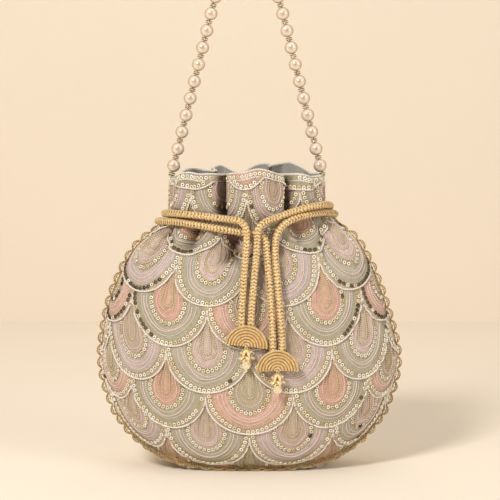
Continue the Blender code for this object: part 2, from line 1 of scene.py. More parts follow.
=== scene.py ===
import bpy
import math
import numpy as np
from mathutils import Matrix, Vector


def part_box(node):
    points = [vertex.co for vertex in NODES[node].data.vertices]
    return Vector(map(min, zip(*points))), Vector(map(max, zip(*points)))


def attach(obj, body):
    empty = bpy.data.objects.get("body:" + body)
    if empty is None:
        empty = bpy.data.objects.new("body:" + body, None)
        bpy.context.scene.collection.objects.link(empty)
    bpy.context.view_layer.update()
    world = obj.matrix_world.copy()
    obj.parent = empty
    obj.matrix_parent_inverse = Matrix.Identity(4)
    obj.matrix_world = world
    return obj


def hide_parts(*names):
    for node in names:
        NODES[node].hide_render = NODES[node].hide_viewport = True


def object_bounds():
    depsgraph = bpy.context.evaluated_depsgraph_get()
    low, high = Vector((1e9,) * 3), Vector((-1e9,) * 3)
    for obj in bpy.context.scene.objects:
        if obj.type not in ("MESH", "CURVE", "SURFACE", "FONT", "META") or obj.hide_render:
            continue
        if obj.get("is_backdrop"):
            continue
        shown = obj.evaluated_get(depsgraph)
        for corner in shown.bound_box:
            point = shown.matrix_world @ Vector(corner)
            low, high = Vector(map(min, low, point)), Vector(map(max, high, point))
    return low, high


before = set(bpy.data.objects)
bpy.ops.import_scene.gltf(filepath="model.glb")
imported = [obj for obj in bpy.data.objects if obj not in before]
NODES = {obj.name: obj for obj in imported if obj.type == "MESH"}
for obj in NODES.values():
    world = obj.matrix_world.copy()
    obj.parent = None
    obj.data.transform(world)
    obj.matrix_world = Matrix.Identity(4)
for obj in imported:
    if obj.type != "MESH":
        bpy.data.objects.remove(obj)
FIRST_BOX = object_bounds()
MM = 0.001

# Sizes of the cloth, in metres, as the CAD part has them
POUCH_HALF_WIDTH = 0.0998
NECK_HEIGHT = 0.170
NECK_HALF_WIDTH = 0.0520
COLLAR_HALF_WIDTH = 0.0515
RIM_HEIGHT_SIDE = 0.1953
RIM_HEIGHT_MIDDLE = 0.2030
BELLY_DEPTH = 0.0495
NECK_DEPTH = 0.0310
COLLAR_DEPTH = 0.0350
FRONT_NECK_DROP = 0.0062
BACK_NECK_DROP = 0.004
LEAN = 0.0018
FOLD_HEIGHT = 0.0080
GATHER_HEIGHT = 0.0045
NECK_SKEW = 0.005
SEAM_FORWARD = 0.022
BASE_SAG = 0.003
SEAM_SLOPE = 0.707
BOTTOM_OUTLINE = [(0, 0.019), (0.30, 0.026), (0.55, 0.059), (0.76, 0.132), (0.902, 0.226)]
SIDE_OUTLINE = [(0.902, 0.226), (0.977, 0.335), (1, 0.447), (0.972, 0.559), (0.897, 0.712),
                (0.772, 0.859), (0.631, 0.941)]
FRONT_BELLY = [(-0.707, 0.076), (-0.889, 0.206), (-0.985, 0.365), (-1, 0.482), (-0.94, 0.635),
               (-0.828, 0.776), (-0.707, 0.876)]
BACK_BELLY = [(0.485, -0.012), (0.727, 0.03), (0.909, 0.159), (0.99, 0.324), (0.99, 0.471),
              (0.93, 0.624), (0.818, 0.771), (0.707, 0.882)]
FRONT_CREASES = (-1, -0.222, 0.38, 1)
BACK_CREASES = (-1, -0.38, 0.27, 1)

# Pockets that the drawcord pulls in: place and width in u, lower end in w, and depth
POCKETS = [(-0.45, 0.055, 0.885, 0.0060), (-0.10, 0.075, 0.850, 0.0105), (0.46, 0.060, 0.890, 0.0060),
           (0.20, 0.045, 0.885, 0.0060), (-0.76, 0.050, 0.895, 0.0060), (0.78, 0.045, 0.895, 0.0055)]

# Heights in metres of the small folds: the lip under a pocket, gathers at the neck, flutes at the rim
POCKET_LIP = 0.0022
RIPPLE = 0.0016
FLUTE = 0.0012

# The embroidered scales: half a scale's width in u, a row's height, the height of the first edge,
# how far an edge arches and a tip reaches (in rows), and how far edges and pads stand out
HALF_PITCH = 0.1875
ROW = 0.0288
FIRST_EDGE = 0.0340
ARCH = 0.90
TEAR = 0.80
RELIEF = 0.0011
PADDING = 0.00035
ROWS = range(-2, 7)

PEARL_DIAMETER = 0.0090
CORD_DIAMETER = 0.0048
THREAD_DIAMETER = 0.0009
FRONT_SIDE = 1
BACK_SIDE = -1
RNG = np.random.default_rng(7)


# Curves and the cloth's surface

def catmull(points, steps=16):
    """Points on a smooth curve through the given points."""
    given = np.array(points, float)
    ends = np.vstack([2 * given[0] - given[1], given, 2 * given[-1] - given[-2]])
    curve = []
    for a, b, c, d in zip(ends[:-3], ends[1:-2], ends[2:-1], ends[3:]):
        for step in range(steps):
            t = step / steps
            curve.append(0.5 * (2 * b + (c - a) * t + (2 * a - 5 * b + 4 * c - d) * t ** 2
                                + (3 * b - a - 3 * c + d) * t ** 3))
    return np.vstack([curve, given[-1]])


def run_along(path):
    """The length from a path's start to each of its points."""
    return np.concatenate([[0], np.cumsum(np.linalg.norm(np.diff(path, axis=0), axis=1))])


class Track:
    """A curve that is read by its share of length, from 0 to 1."""

    def __init__(self, points):
        self.points = catmull(points)
        run = run_along(self.points)
        self.length = float(run[-1])
        self.marks = run / self.length

    def at(self, share):
        return [np.interp(share, self.marks, column) for column in self.points.T]


def smooth(low, high, value):
    """A soft step, 0 up to low and 1 from high."""
    t = np.clip((value - low) / (high - low), 0, 1)
    return t * t * (3 - 2 * t)


def hump(value, centre, width):
    """A bell curve, 1 at its centre."""
    return np.exp(-((value - centre) / width) ** 2)


def scaled(points, across, up):
    """An outline given in shares, made to size."""
    return [(a * across, b * up) for a, b in points]


SEAM_START = (-SEAM_FORWARD, BOTTOM_OUTLINE[0][1] * NECK_HEIGHT)
BOTTOM = Track(scaled(BOTTOM_OUTLINE, POUCH_HALF_WIDTH, NECK_HEIGHT))
SIDE = Track(scaled(SIDE_OUTLINE, POUCH_HALF_WIDTH, NECK_HEIGHT) + [(NECK_HALF_WIDTH, NECK_HEIGHT)])
SIDE_COLLAR = Track([(NECK_HALF_WIDTH, NECK_HEIGHT), (COLLAR_HALF_WIDTH, RIM_HEIGHT_SIDE)])
FRONT_START = [SEAM_START]
BACK_START = [SEAM_START, (-0.7 * SEAM_FORWARD, -BASE_SAG)]


def middle_tracks(side, start, belly, neck_drop):
    """The middle line of one side, seen from the side: up to the neck, and from there to the rim."""
    neck = (-side * NECK_DEPTH, NECK_HEIGHT - neck_drop)
    body = Track(start + scaled(belly, BELLY_DEPTH, NECK_HEIGHT) + [neck])
    collar = Track([neck, (-side * COLLAR_DEPTH, (neck[1] + RIM_HEIGHT_MIDDLE) / 2),
                    (-side * COLLAR_DEPTH, RIM_HEIGHT_MIDDLE)])
    return body, collar


TRACKS = {FRONT_SIDE: middle_tracks(FRONT_SIDE, FRONT_START, FRONT_BELLY, FRONT_NECK_DROP),
          BACK_SIDE: middle_tracks(BACK_SIDE, BACK_START, BACK_BELLY, BACK_NECK_DROP)}


def bulge(u, creases):
    """A row of tubes between creases, 0 at each crease and 1 on top."""
    edges = np.array(creases)
    place = np.clip(np.searchsorted(edges, u, side="right") - 1, 0, len(edges) - 2)
    low, high = edges[place], edges[place + 1]
    return np.abs(np.sin(math.pi * (u - low) / (high - low))) ** 0.8


def folds_at(side, u, w):
    """Height of the cloth's folds: tubes above the drawcord, pockets and soft gathers below it."""
    creases = FRONT_CREASES if side == FRONT_SIDE else BACK_CREASES
    swell = bulge(u, creases)
    width = 0.040 + 0.022 * (1 - smooth(1.0, 1.5, w))
    pressed = -0.0150 * sum(hump(u, crease, width) for crease in creases[1:-1]) * smooth(0.98, 1.15, w)
    pocket = 0
    for centre, wide, low, deep in POCKETS:
        dent = hump(u, side * centre, wide)
        pocket = pocket - deep * dent * smooth(low, low + 0.035, w) * (1 - smooth(0.99, 1.06, w))
        pocket = pocket + POCKET_LIP * hump(u, side * centre, 1.5 * wide) * hump(w - low, -0.012, 0.03)
    above = FOLD_HEIGHT * smooth(1.04, 1.45, w) * (swell - 0.45)
    below = GATHER_HEIGHT * smooth(0.72, 0.9, w) * (1 - smooth(0.9, 0.98, w)) * (swell - 0.55)
    ripple = np.cos(2 * math.pi * (3.7 * u + 0.12 * side)) + 0.6 * np.cos(2 * math.pi * (7.9 * u + 0.3))
    gather = RIPPLE * smooth(0.62, 0.93, w) * (1 - smooth(1.0, 1.35, w)) * ripple
    flute = FLUTE * smooth(1.2, 1.8, w) * (np.cos(2 * math.pi * (5.4 * u + 0.1)) - 0.3 * swell)
    return (above - below + gather + flute + pressed + pocket) * (1 - np.abs(u) ** 8)


def cloth(side, u, w, inset=0.0):
    """Points of the bag's cloth. u runs from seam to seam, and w from the bottom seam (0)
    over the neck (1) to the rim (2). inset moves the points inwards."""
    u, w = np.broadcast_arrays(np.asarray(u, float), np.asarray(w, float))
    lower, upper = np.minimum(w, 1), np.maximum(w - 1, 0)
    body, collar = TRACKS[side]
    x_side, z_side = [np.where(w <= 1, a, b) for a, b in zip(SIDE.at(lower), SIDE_COLLAR.at(upper))]
    y_mid, z_mid = [np.where(w <= 1, a, b) for a, b in zip(body.at(lower), collar.at(upper))]
    out = np.sign(u) * np.sin(np.abs(u) * math.pi / 2)
    outline_x, outline_z = BOTTOM.points.T
    bottom = np.interp(np.abs(out) * outline_x[-1], outline_x, outline_z)
    lift = (bottom - outline_z[0]) / (outline_z[-1] - outline_z[0])
    low = 1 - smooth(0, 0.35, w)
    y_side = -SEAM_FORWARD * (1 - smooth(0, NECK_HEIGHT / 3, z_side))
    depth = np.maximum(np.cos(u * math.pi / 2), 0) ** 1.15
    y_mid = y_mid + inset * (side * (1 - low) + SEAM_SLOPE * low)
    z = z_mid + (z_side - z_mid) * lift + inset * SEAM_SLOPE * low
    z = z + NECK_SKEW * hump(w, 1, 0.35) * smooth(0, 1, u)
    x = (x_side - inset) * out
    y = y_side + (y_mid - y_side) * depth
    across, along = x / POUCH_HALF_WIDTH, y / BELLY_DEPTH
    size = np.maximum(np.hypot(across, along), 1e-6)
    height = folds_at(side, u, w)
    x = x + across / size * height
    y = y + along / size * height
    if side == FRONT_SIDE:
        dip = 0.0042 * (hump(u, FRONT_CREASES[1], 0.09) + 0.8 * hump(u, FRONT_CREASES[2], 0.09))
    else:
        dip = 0.0040 * hump(u, -0.06, 0.13) - 0.0030 * hump(u, 0.34, 0.2)
    wave = 0.0012 * np.cos(2 * math.pi * (3.1 * u + 0.2)) + dip
    z = z - wave * smooth(1.3, 2, w) * (1 - np.abs(u) ** 6)
    z = np.maximum(z, inset)
    x = x - LEAN * smooth(NECK_HEIGHT * 0.4, NECK_HEIGHT * 0.7, z)
    return np.stack([x, y, z], axis=-1)


def unit(v):
    """Vectors brought to length one."""
    return v / np.maximum(np.linalg.norm(v, axis=-1, keepdims=True), 1e-9)


def outward(side, u, w):
    """The way out of the cloth."""
    step = 0.006
    across = cloth(side, np.minimum(u + step, 1), w) - cloth(side, np.maximum(u - step, -1), w)
    up = cloth(side, u, np.minimum(w + step, 2)) - cloth(side, u, np.maximum(w - step, 0))
    return unit(np.cross(across, up) * side)


def row_of(side, w):
    """The pattern's row coordinate at w."""
    body, collar = TRACKS[side]
    run = np.where(w <= 1, w * body.length, body.length + (w - 1) * collar.length)
    return (run - FIRST_EDGE) / ROW


def w_of(side, row):
    """The w at a row coordinate of the pattern."""
    body, collar = TRACKS[side]
    run = row * ROW + FIRST_EDGE
    return np.where(run <= body.length, run / body.length, 1 + (run - body.length) / collar.length)


def spread(p, row):
    """Where a place of the pattern lies: its u, and its row on the cloth. The scales widen
    towards the seams and hang lower there."""
    u = HALF_PITCH * p * (1 + (0.01 + 0.13 * smooth(0.8, 5, row)) * np.abs(p))
    sag = 0.03 * np.minimum(p ** 2, 16) * smooth(-1.2, 1.2, row) * (1 - smooth(3.2, 4.6, row))
    return u, row - sag + 0.1 * smooth(3.3, 4.2, row) - 0.32 * smooth(3.95, 5.1, row)


def pattern_at(u, level):
    """The place in the pattern for a u and a row on the cloth."""
    p, row = u / HALF_PITCH, level
    for _ in range(40):
        near_u, near_level = spread(p, row)
        p = p + 0.6 * (u - near_u) / HALF_PITCH
        row = row + 0.6 * (level - near_level)
    return p, row


def place_of(side, p, r):
    """The u and w of a place in the pattern."""
    u, level = spread(p, r)
    return np.clip(u, -1, 1), np.clip(w_of(side, level), 0, 2)


def hollow_at(side, u, w):
    """How much painted shade a place gets, from 0 to 1: most deep in a fold, and some on the collar, near
    the bottom seam and under the drawcord.
    """
    deep = np.clip((-folds_at(side, u, w) - 0.0012) / 0.0085, 0, 1)
    # Painted shade: the collar above the neck, the cloth near the bottom seam and a band under the drawcord
    # are darkened too.
    wear_and_shade = 0.14 * smooth(1.0, 1.1, w) + 0.14 * (1 - smooth(0.03, 0.18, w))
    return np.clip(deep + wear_and_shade + 0.25 * hump(w, 0.985, 0.05), 0, 1)


def x_of(p, row):
    """The place across in a row's own scale."""
    return (p + row + 1) % 2 - 1


def arch_of(x):
    """How high a scale's round edge has risen at a place across."""
    return ARCH * (1 - np.sqrt(np.maximum(1 - x ** 2, 0)))


def own_scale(p, r):
    """For a place in the pattern: the scale's row, the place across and up from the scale's centre."""
    first = np.floor(r)
    row = np.where(r >= first + arch_of(x_of(p, first)), first, first - 1)
    return row, x_of(p, row), r - row - 1


def ring_of(x, y):
    """How far out a place is in its scale: 0 at the heart, 1 at the edge."""
    wide = np.abs(x) * (1.25 - 0.25 * np.abs(x))
    lower = np.hypot(wide, np.minimum(y, 0))
    return lower / np.maximum(1 - (np.maximum(y, 0) / TEAR) ** 1.5, 0.05)


def relief(p, r):
    """How far the embroidery stands out: each scale rises to its edge, with padded rings."""
    _, x, y = own_scale(p, r)
    ring = np.minimum(ring_of(x, y), 1)
    pad = PADDING * np.cos((ring - 0.70) * 2 * math.pi / 0.34) * (ring < 0.9)
    return RELIEF * ring ** 3 * np.clip(1 - np.maximum(y, 0) * 1.5, 0, 1) + pad


def on_cloth(side, p, r, lift=0.0):
    """Points over the embroidery, and the way out of the cloth there."""
    u, w = place_of(side, p, r)
    way = outward(side, u, w)
    calm = 1 - np.abs(u) ** 12
    return cloth(side, u, w) + way * ((relief(p, r) * calm + lift)[..., None]), way


# Meshes

def put_in_scene(name, data):
    """A new object with this data, linked to the scene."""
    item = bpy.data.objects.new(name, data)
    bpy.context.scene.collection.objects.link(item)
    return item


def write_values(mesh, name, values, kind="FLOAT", field="value"):
    """Stores a number or a vector for each point of a mesh."""
    entry = mesh.attributes.new(name, kind, "POINT")
    entry.data.foreach_set(field, np.asarray(values, np.float32).ravel())


class Bunch:
    """Points and faces of many small shapes that become one mesh, with two numbers for each point."""

    def __init__(self):
        self.points, self.faces, self.marks, self.hollows, self.count = [], [], [], [], 0

    def add(self, points, faces, mark=0.0, hollow=0.0):
        points = np.asarray(points, float).reshape(-1, 3)
        self.points.append(points)
        self.faces += [tuple(int(i) + self.count for i in face) for face in faces]
        self.marks.append(np.broadcast_to(np.asarray(mark, float), (len(points),)))
        self.hollows.append(np.broadcast_to(np.asarray(hollow, float), (len(points),)))
        self.count += len(points)

    def build(self, name, material, smooth_faces=True):
        mesh = bpy.data.meshes.new(name)
        mesh.from_pydata(np.vstack(self.points).tolist(), [], self.faces)
        write_values(mesh, "mark", np.concatenate(self.marks))
        write_values(mesh, "hollow", np.concatenate(self.hollows))
        if smooth_faces:
            mesh.shade_smooth()
        mesh.materials.append(material)
        return put_in_scene(name, mesh)


def grid_faces(rows, columns, closed=False):
    """Quads between the points of a grid. A closed grid also joins its last column to its first."""
    start = np.arange(rows - 1)[:, None] * columns
    column = np.arange(columns if closed else columns - 1)[None]
    a, b = start + column, start + (column + 1) % columns
    return np.stack([a, b, b + columns, a + columns], axis=-1).reshape(-1, 4)


def turn_frames(path, normal=None):
    """Two directions across a path. A given normal is kept, else the frame turns as little as it can."""
    along = unit(np.gradient(path, axis=0))
    if normal is not None:
        first = unit(normal - along * (normal * along).sum(1, keepdims=True))
    else:
        first = np.zeros_like(path)
        start = np.array([0, 1, 0.01]) if abs(along[0][1]) < 0.9 else np.array([1, 0, 0])
        for i, way in enumerate(along):
            start = start - way * start.dot(way)
            start = start / np.linalg.norm(start)
            first[i] = start
    return first, np.cross(along, first)


def tube(bunch, path, radius, sides=5, normal=None, closed=False, mark=None, hollow=0.0):
    """A tube with capped ends along a path. radius is one number or one for each ring and side."""
    path = np.asarray(path, float)
    first, second = turn_frames(path, normal)
    turn = np.arange(sides) * 2 * math.pi / sides
    size = np.broadcast_to(np.asarray(radius, float), (len(path), sides))
    points = path[:, None] + size[..., None] * (np.cos(turn)[None, :, None] * first[:, None]
                                                + np.sin(turn)[None, :, None] * second[:, None])
    faces = grid_faces(len(path), sides, True).tolist()
    last = (len(path) - 1) * sides
    if closed:
        faces += [(last + k, last + (k + 1) % sides, (k + 1) % sides, k) for k in range(sides)]
    else:
        faces += [tuple(range(sides))[::-1], tuple(range(last, last + sides))]
    mark = np.repeat(run_along(path) / MM, sides) if mark is None else np.ravel(mark)
    bunch.add(points, faces, mark, np.repeat(np.broadcast_to(hollow, len(path)), sides))


def turned(profile, sides):
    """Points and faces of a closed shape turned about Z, from a profile that starts and ends on the axis."""
    turn = np.arange(sides) * 2 * math.pi / sides
    points = [(0, 0, profile[0][1])]
    for r, z in profile[1:-1]:
        points += [(r * math.cos(t), r * math.sin(t), z) for t in turn]
    points.append((0, 0, profile[-1][1]))
    rings = len(profile) - 2
    faces = (grid_faces(rings, sides, True) + 1).tolist()
    last = 1 + (rings - 1) * sides
    for i in range(sides):
        j = (i + 1) % sides
        faces.append((0, 1 + j, 1 + i))
        faces.append((last + i, last + j, len(points) - 1))
    return np.array(points), faces


def placed(points, place, axis, front):
    """Points of a shape made about Z, set at a place with Z along axis, which is square to front."""
    other = np.cross(front, axis)
    return place + points @ np.stack([other, np.cross(axis, other), axis])


# Nodes

def add_node(tree, kind, inputs=(), **settings):
    """A new node with its settings. Its inputs are given as values or as sockets to link."""
    made = tree.nodes.new(kind)
    for key, value in settings.items():
        setattr(made, key, value)
    for key, value in dict(inputs).items():
        if isinstance(value, bpy.types.NodeSocket):
            tree.links.new(value, made.inputs[key])
        else:
            made.inputs[key].default_value = value
    return made


def scatter_tree(name, material):
    """A node tree that sets copies of an object on points, with Z along each facing and a random tilt."""
    tree = bpy.data.node_groups.new(name, "GeometryNodeTree")
    sockets = {"Geometry": "Geometry", "Template": "Object", "Tilt": "Float", "Seed": "Int"}
    for label, kind in sockets.items():
        tree.interface.new_socket(label, in_out="INPUT", socket_type="NodeSocket" + kind)
    tree.interface.new_socket("Geometry", in_out="OUTPUT", socket_type="NodeSocketGeometry")
    given = add_node(tree, "NodeGroupInput").outputs
    shape = add_node(tree, "GeometryNodeObjectInfo", {"Object": given["Template"], "As Instance": True})
    facing, front = [add_node(tree, "GeometryNodeInputNamedAttribute", {"Name": label},
                              data_type="FLOAT_VECTOR").outputs["Attribute"]
                     for label in ("facing", "front")]
    turn = add_node(tree, "FunctionNodeAxesToRotation", {"Primary Axis": facing, "Secondary Axis": front},
                    primary_axis="Z", secondary_axis="Y")
    copies = add_node(tree, "GeometryNodeInstanceOnPoints", {
        "Points": given["Geometry"], "Instance": shape.outputs["Geometry"], "Rotation": turn.outputs[0]})
    negative = add_node(tree, "ShaderNodeMath", {0: given["Tilt"], 1: -1}, operation="MULTIPLY")
    tilt = add_node(tree, "FunctionNodeRandomValue", {
        0: negative.outputs[0], 1: given["Tilt"], "Seed": given["Seed"]}, data_type="FLOAT_VECTOR")
    tilted = add_node(tree, "GeometryNodeRotateInstances", {"Instances": copies.outputs[0],
                                                            "Rotation": tilt.outputs[0]})
    real = add_node(tree, "GeometryNodeRealizeInstances", {"Geometry": tilted.outputs[0]})
    painted = add_node(tree, "GeometryNodeSetMaterial", {"Geometry": real.outputs[0], "Material": material})
    add_node(tree, "NodeGroupOutput", {"Geometry": painted.outputs[0]})
    return tree


def scatter(name, shape, places, facings, front, marks, material, tilt=0.0, seed=1, smooth_faces=True):
    """Copies of a shape on points, made one plain mesh by Geometry Nodes."""
    template = shape.build("template", material, smooth_faces)
    for label in ("mark", "hollow"):
        template.data.attributes.remove(template.data.attributes[label])
    mesh = bpy.data.meshes.new(name)
    mesh.from_pydata(np.asarray(places).tolist(), [], [])
    write_values(mesh, "facing", facings, "FLOAT_VECTOR", "vector")
    write_values(mesh, "front", np.tile(front, (len(places), 1)), "FLOAT_VECTOR", "vector")
    write_values(mesh, "mark", marks)
    item = put_in_scene(name, mesh)
    modifier = item.modifiers.new("scatter", "NODES")
    modifier.node_group = scatter_tree(name + "_tree", material)
    keys = {socket.name: socket.identifier for socket in modifier.node_group.interface.items_tree
            if socket.in_out == "INPUT"}
    for label, value in (("Template", template), ("Tilt", tilt), ("Seed", seed)):
        modifier[keys[label]] = value
    bpy.context.view_layer.update()
    ready = item.evaluated_get(bpy.context.evaluated_depsgraph_get())
    made = bpy.data.meshes.new_from_object(ready)
    item.modifiers.clear()
    item.data = made
    made.materials.clear()
    made.materials.append(material)
    bpy.data.objects.remove(template)
    return item


# Materials

def linear_of(code):
    """A linear colour from an sRGB hex code."""
    channels = [int(code[i:i + 2], 16) / 255 for i in (1, 3, 5)]
    return tuple(c / 12.92 if c <= 0.04045 else ((c + 0.055) / 1.055) ** 2.4 for c in channels) + (1.0,)


class Paint:
    """A material's node tree, with short ways to add its nodes."""

    def __init__(self, name):
        self.material = bpy.data.materials.new(name)
        self.material.use_nodes = True
        self.tree = self.material.node_tree
        self.shader = self.tree.nodes["Principled BSDF"]

    def set(self, **values):
        for name, value in values.items():
            self.shader.inputs[name.replace("_", " ")].default_value = value

    def node(self, kind, inputs=(), **settings):
        return add_node(self.tree, kind, inputs, **settings)

    def math(self, operation, *values):
        return self.node("ShaderNodeMath", dict(enumerate(values)), operation=operation).outputs[0]

    def centred(self, value, reach):
        """A value from 0 to 1, moved to lie about 0."""
        return self.math("MULTIPLY", self.math("SUBTRACT", value, 0.5), reach)

    def wave(self, value, pitch):
        return self.math("SINE", self.math("MULTIPLY", value, 2 * math.pi / pitch))

    def ramp(self, factor, stops, mode="LINEAR"):
        made = self.node("ShaderNodeValToRGB", {"Fac": factor})
        made.color_ramp.interpolation = mode
        entries = made.color_ramp.elements
        while len(entries) < len(stops):
            entries.new(1.0)
        for entry, (place, colour) in zip(entries, stops):
            entry.position = place
            entry.color = linear_of(colour) if isinstance(colour, str) else (colour, colour, colour, 1)
        return made.outputs["Color"]

    def mix(self, factor, a, b, blend="MIX"):
        a, b = [linear_of(value) if isinstance(value, str) else value for value in (a, b)]
        made = self.node("ShaderNodeMix", {0: factor, 6: a, 7: b}, data_type="RGBA", blend_type=blend)
        return made.outputs[2]

    def noise(self, scale, detail=2.0, stretch=None):
        place = self.node("ShaderNodeTexCoord").outputs["Object"]
        if stretch:
            place = self.node("ShaderNodeMapping", {"Vector": place, "Scale": stretch}).outputs[0]
        made = self.node("ShaderNodeTexNoise", {"Vector": place, "Scale": scale, "Detail": detail})
        return made.outputs["Fac"]

    def attribute(self, name):
        return self.node("ShaderNodeAttribute", attribute_name=name).outputs["Fac"]

    def shaded(self, colour, tone):
        """The colour times a grey tone."""
        grey = self.node("ShaderNodeCombineColor", {0: tone, 1: tone, 2: tone}).outputs[0]
        return self.mix(1.0, colour, grey, "MULTIPLY")

    def fold_shaded(self, colour, tint="#7A5638"):
        """The colour with painted shade: browner and darker where the hollow attribute is high, deep in a
        fold.
        """
        browner = self.mix(1.0, colour, tint, "MULTIPLY")
        return self.mix(self.math("MULTIPLY", self.attribute("hollow"), 0.75), colour, browner)

    def colour(self, socket):
        self.tree.links.new(socket, self.shader.inputs["Base Color"])

    def rough(self, socket):
        self.tree.links.new(socket, self.shader.inputs["Roughness"])

    def bump(self, height, distance, strength=1.0):
        made = self.node("ShaderNodeBump", {"Height": height, "Distance": distance, "Strength": strength})
        self.tree.links.new(made.outputs[0], self.shader.inputs["Normal"])


def embroidered_cloth():
    """Silk thread laid in rings on net: each scale's bands of colour show, and the fine ridges."""
    paint = Paint("embroidered_cloth")
    m = paint.math
    place = paint.node("ShaderNodeUVMap", uv_map="pattern").outputs[0]
    split = paint.node("ShaderNodeSeparateXYZ", {0: place})
    p, r = split.outputs[0], split.outputs[1]

    # The same sums as in own_scale and ring_of
    first = m("FLOOR", r)
    across = m("WRAP", m("ADD", p, first), 1.0, -1.0)
    arch = m("SQRT", m("MAXIMUM", m("SUBTRACT", 1.0, m("MULTIPLY", across, across)), 0.0))
    edge = m("ADD", first, m("MULTIPLY", m("SUBTRACT", 1.0, arch), ARCH))
    row = m("ADD", m("SUBTRACT", first, 1.0), m("GREATER_THAN", r, edge))
    x = m("WRAP", m("ADD", p, row), 1.0, -1.0)
    y = m("SUBTRACT", m("SUBTRACT", r, row), 1.0)
    kind = m("DIVIDE", m("WRAP", m("ADD", m("SUBTRACT", p, x), 0.5), 4.0, 0.0), 4.0)
    far = m("ABSOLUTE", x)
    wide = m("MULTIPLY", far, m("SUBTRACT", 1.25, m("MULTIPLY", far, 0.25)))
    below = m("MINIMUM", y, 0.0)
    lower = m("SQRT", m("ADD", m("MULTIPLY", wide, wide), m("MULTIPLY", below, below)))
    tip = m("POWER", m("DIVIDE", m("MAXIMUM", y, 0.0), TEAR), 1.5)
    ring = m("DIVIDE", lower, m("MAXIMUM", m("SUBTRACT", 1.0, tip), 0.05))
    ring = m("ADD", ring, paint.centred(paint.noise(420.0), 0.06))

    # Four kinds of scale take turns; each has one colour in its band and another in its heart
    bands = [(0, "#DCB1A1"), (0.25, "#C9B8B6"), (0.5, "#B3AD9A"), (0.75, "#B9B2A3")]
    hearts = [(0, "#BEB6A4"), (0.25, "#CAB7AE"), (0.5, "#DDAE9F"), (0.75, "#D3C0BC")]
    band, heart = paint.ramp(kind, bands, "CONSTANT"), paint.ramp(kind, hearts, "CONSTANT")
    net = paint.mix(0.35, paint.mix(paint.noise(900.0, 3.0), "#8C7750", "#C9B998"), band)
    in_heart = paint.ramp(ring, [(0, 1.0), (0.42, 1.0), (0.45, 0.0)])
    in_band = paint.ramp(ring, [(0.545, 0.0), (0.565, 1.0), (0.86, 1.0), (0.88, 0.0)])
    colour = paint.mix(in_heart, paint.mix(in_band, net, band), heart)
    stripes = paint.ramp(paint.wave(ring, 0.105), [(0.45, 0.0), (0.75, 1.0)])
    gilt = m("MULTIPLY", stripes, paint.ramp(ring, [(0.28, 1.0), (0.36, 0.0)]))
    colour = paint.mix(m("MULTIPLY", gilt, 0.75), colour, "#D8C49C")
    wear_and_shade = paint.ramp(paint.noise(260.0, 3.0), [(0.50, 0.0), (0.66, 0.34)])
    colour = paint.mix(wear_and_shade, colour, "#B49A6E")

    thread = paint.wave(ring, 0.031)
    stitch = paint.noise(1500.0)
    tone = m("MULTIPLY_ADD", thread, 0.08, 1.0)
    for value, reach in ((stitch, 0.55), (paint.noise(60.0, 3.0), 0.30), (paint.noise(420.0, 3.0), 0.40)):
        tone = m("ADD", tone, paint.centred(value, reach))
    near_edge = paint.ramp(ring, [(0.93, 0.0), (0.99, 1.0)])
    colour = paint.mix(m("MULTIPLY", near_edge, 0.35), paint.shaded(colour, tone), "#D2C6B0")
    # Painted shade: the cloth is made browner and darker in folds, on the collar and under the drawcord.
    paint.colour(paint.fold_shaded(colour))
    paint.set(Roughness=0.62, Sheen_Weight=0.15, Specular_IOR_Level=0.35)
    paint.bump(m("MULTIPLY_ADD", thread, 0.35, stitch), 0.0006, 0.8)
    return paint.material


def twisted_thread(name, first, second, pitch, roughness=0.5):
    """Two strands twisted together: the colours follow each other along the thread."""
    paint = Paint(name)
    turn = paint.wave(paint.attribute("mark"), pitch)
    factor = paint.ramp(paint.math("ADD", turn, paint.noise(700.0)), [(0.25, 0.0), (0.75, 1.0)])
    # Painted shade: threads that lie in folds are made browner and darker.
    paint.colour(paint.fold_shaded(paint.mix(factor, first, second)))
    paint.set(Roughness=roughness, Sheen_Weight=0.2)
    paint.bump(turn, 0.0003, 0.6)
    return paint.material


def sequin_shell():
    """Small ring sequins with a pearly gilt face; their mark is a painted reflection, bright on most and
    dark on some.
    """
    paint = Paint("sequin_shell")
    paint.colour(paint.ramp(paint.attribute("mark"), [
        (0, "#33291D"), (0.12, "#6A583C"), (0.2, "#BFA26C"), (0.4, "#F3E6C4"), (0.8, "#FFFAEC")]))
    paint.rough(paint.math("MULTIPLY_ADD", paint.noise(300.0), 0.15, 0.22))
    paint.set(Metallic=0.12, Coat_Weight=0.6, Coat_Roughness=0.12)
    return paint.material


def knitted_gold_cord():
    """A tube knitted from gold lurex: bright strands over gaps darkened as painted shade, with small painted
    glints.
    """
    paint = Paint("knitted_gold_cord")
    mark = paint.math("ADD", paint.attribute("mark"), paint.centred(paint.noise(800.0), 1.0))
    base = paint.ramp(mark, [(0.0, "#3E2A14"), (0.20, "#8A6A3C"), (0.45, "#CBA870"), (1.0, "#EED6A8")])
    # Painted highlight: small glints mixed into the colour, where the roughness is lower too.
    glint = paint.ramp(paint.noise(1700.0, 1.0), [(0.56, 0.0), (0.68, 1.0)])
    paint.colour(paint.mix(paint.math("MULTIPLY", glint, 0.6), base, "#F6E6BE"))
    paint.rough(paint.math("MULTIPLY_ADD", glint, -0.3, 0.62))
    paint.set(Metallic=0.25)
    paint.bump(paint.noise(1800.0), 0.0004, 0.7)
    return paint.material


def gold_lace():
    """Braided gimp for the scalloped edge: old gold with a random tone, darker where the strands part as
    painted shade.
    """
    paint = Paint("gold_lace")
    turn = paint.wave(paint.attribute("mark"), 1.3)
    factor = paint.math("MULTIPLY_ADD", turn, 0.3, paint.noise(900.0))
    paint.colour(paint.ramp(factor, [(0.15, "#87683A"), (0.5, "#C09E66"), (0.85, "#E2CA98")]))
    paint.set(Roughness=0.5, Metallic=0.25)
    paint.bump(turn, 0.0003, 0.8)
    return paint.material


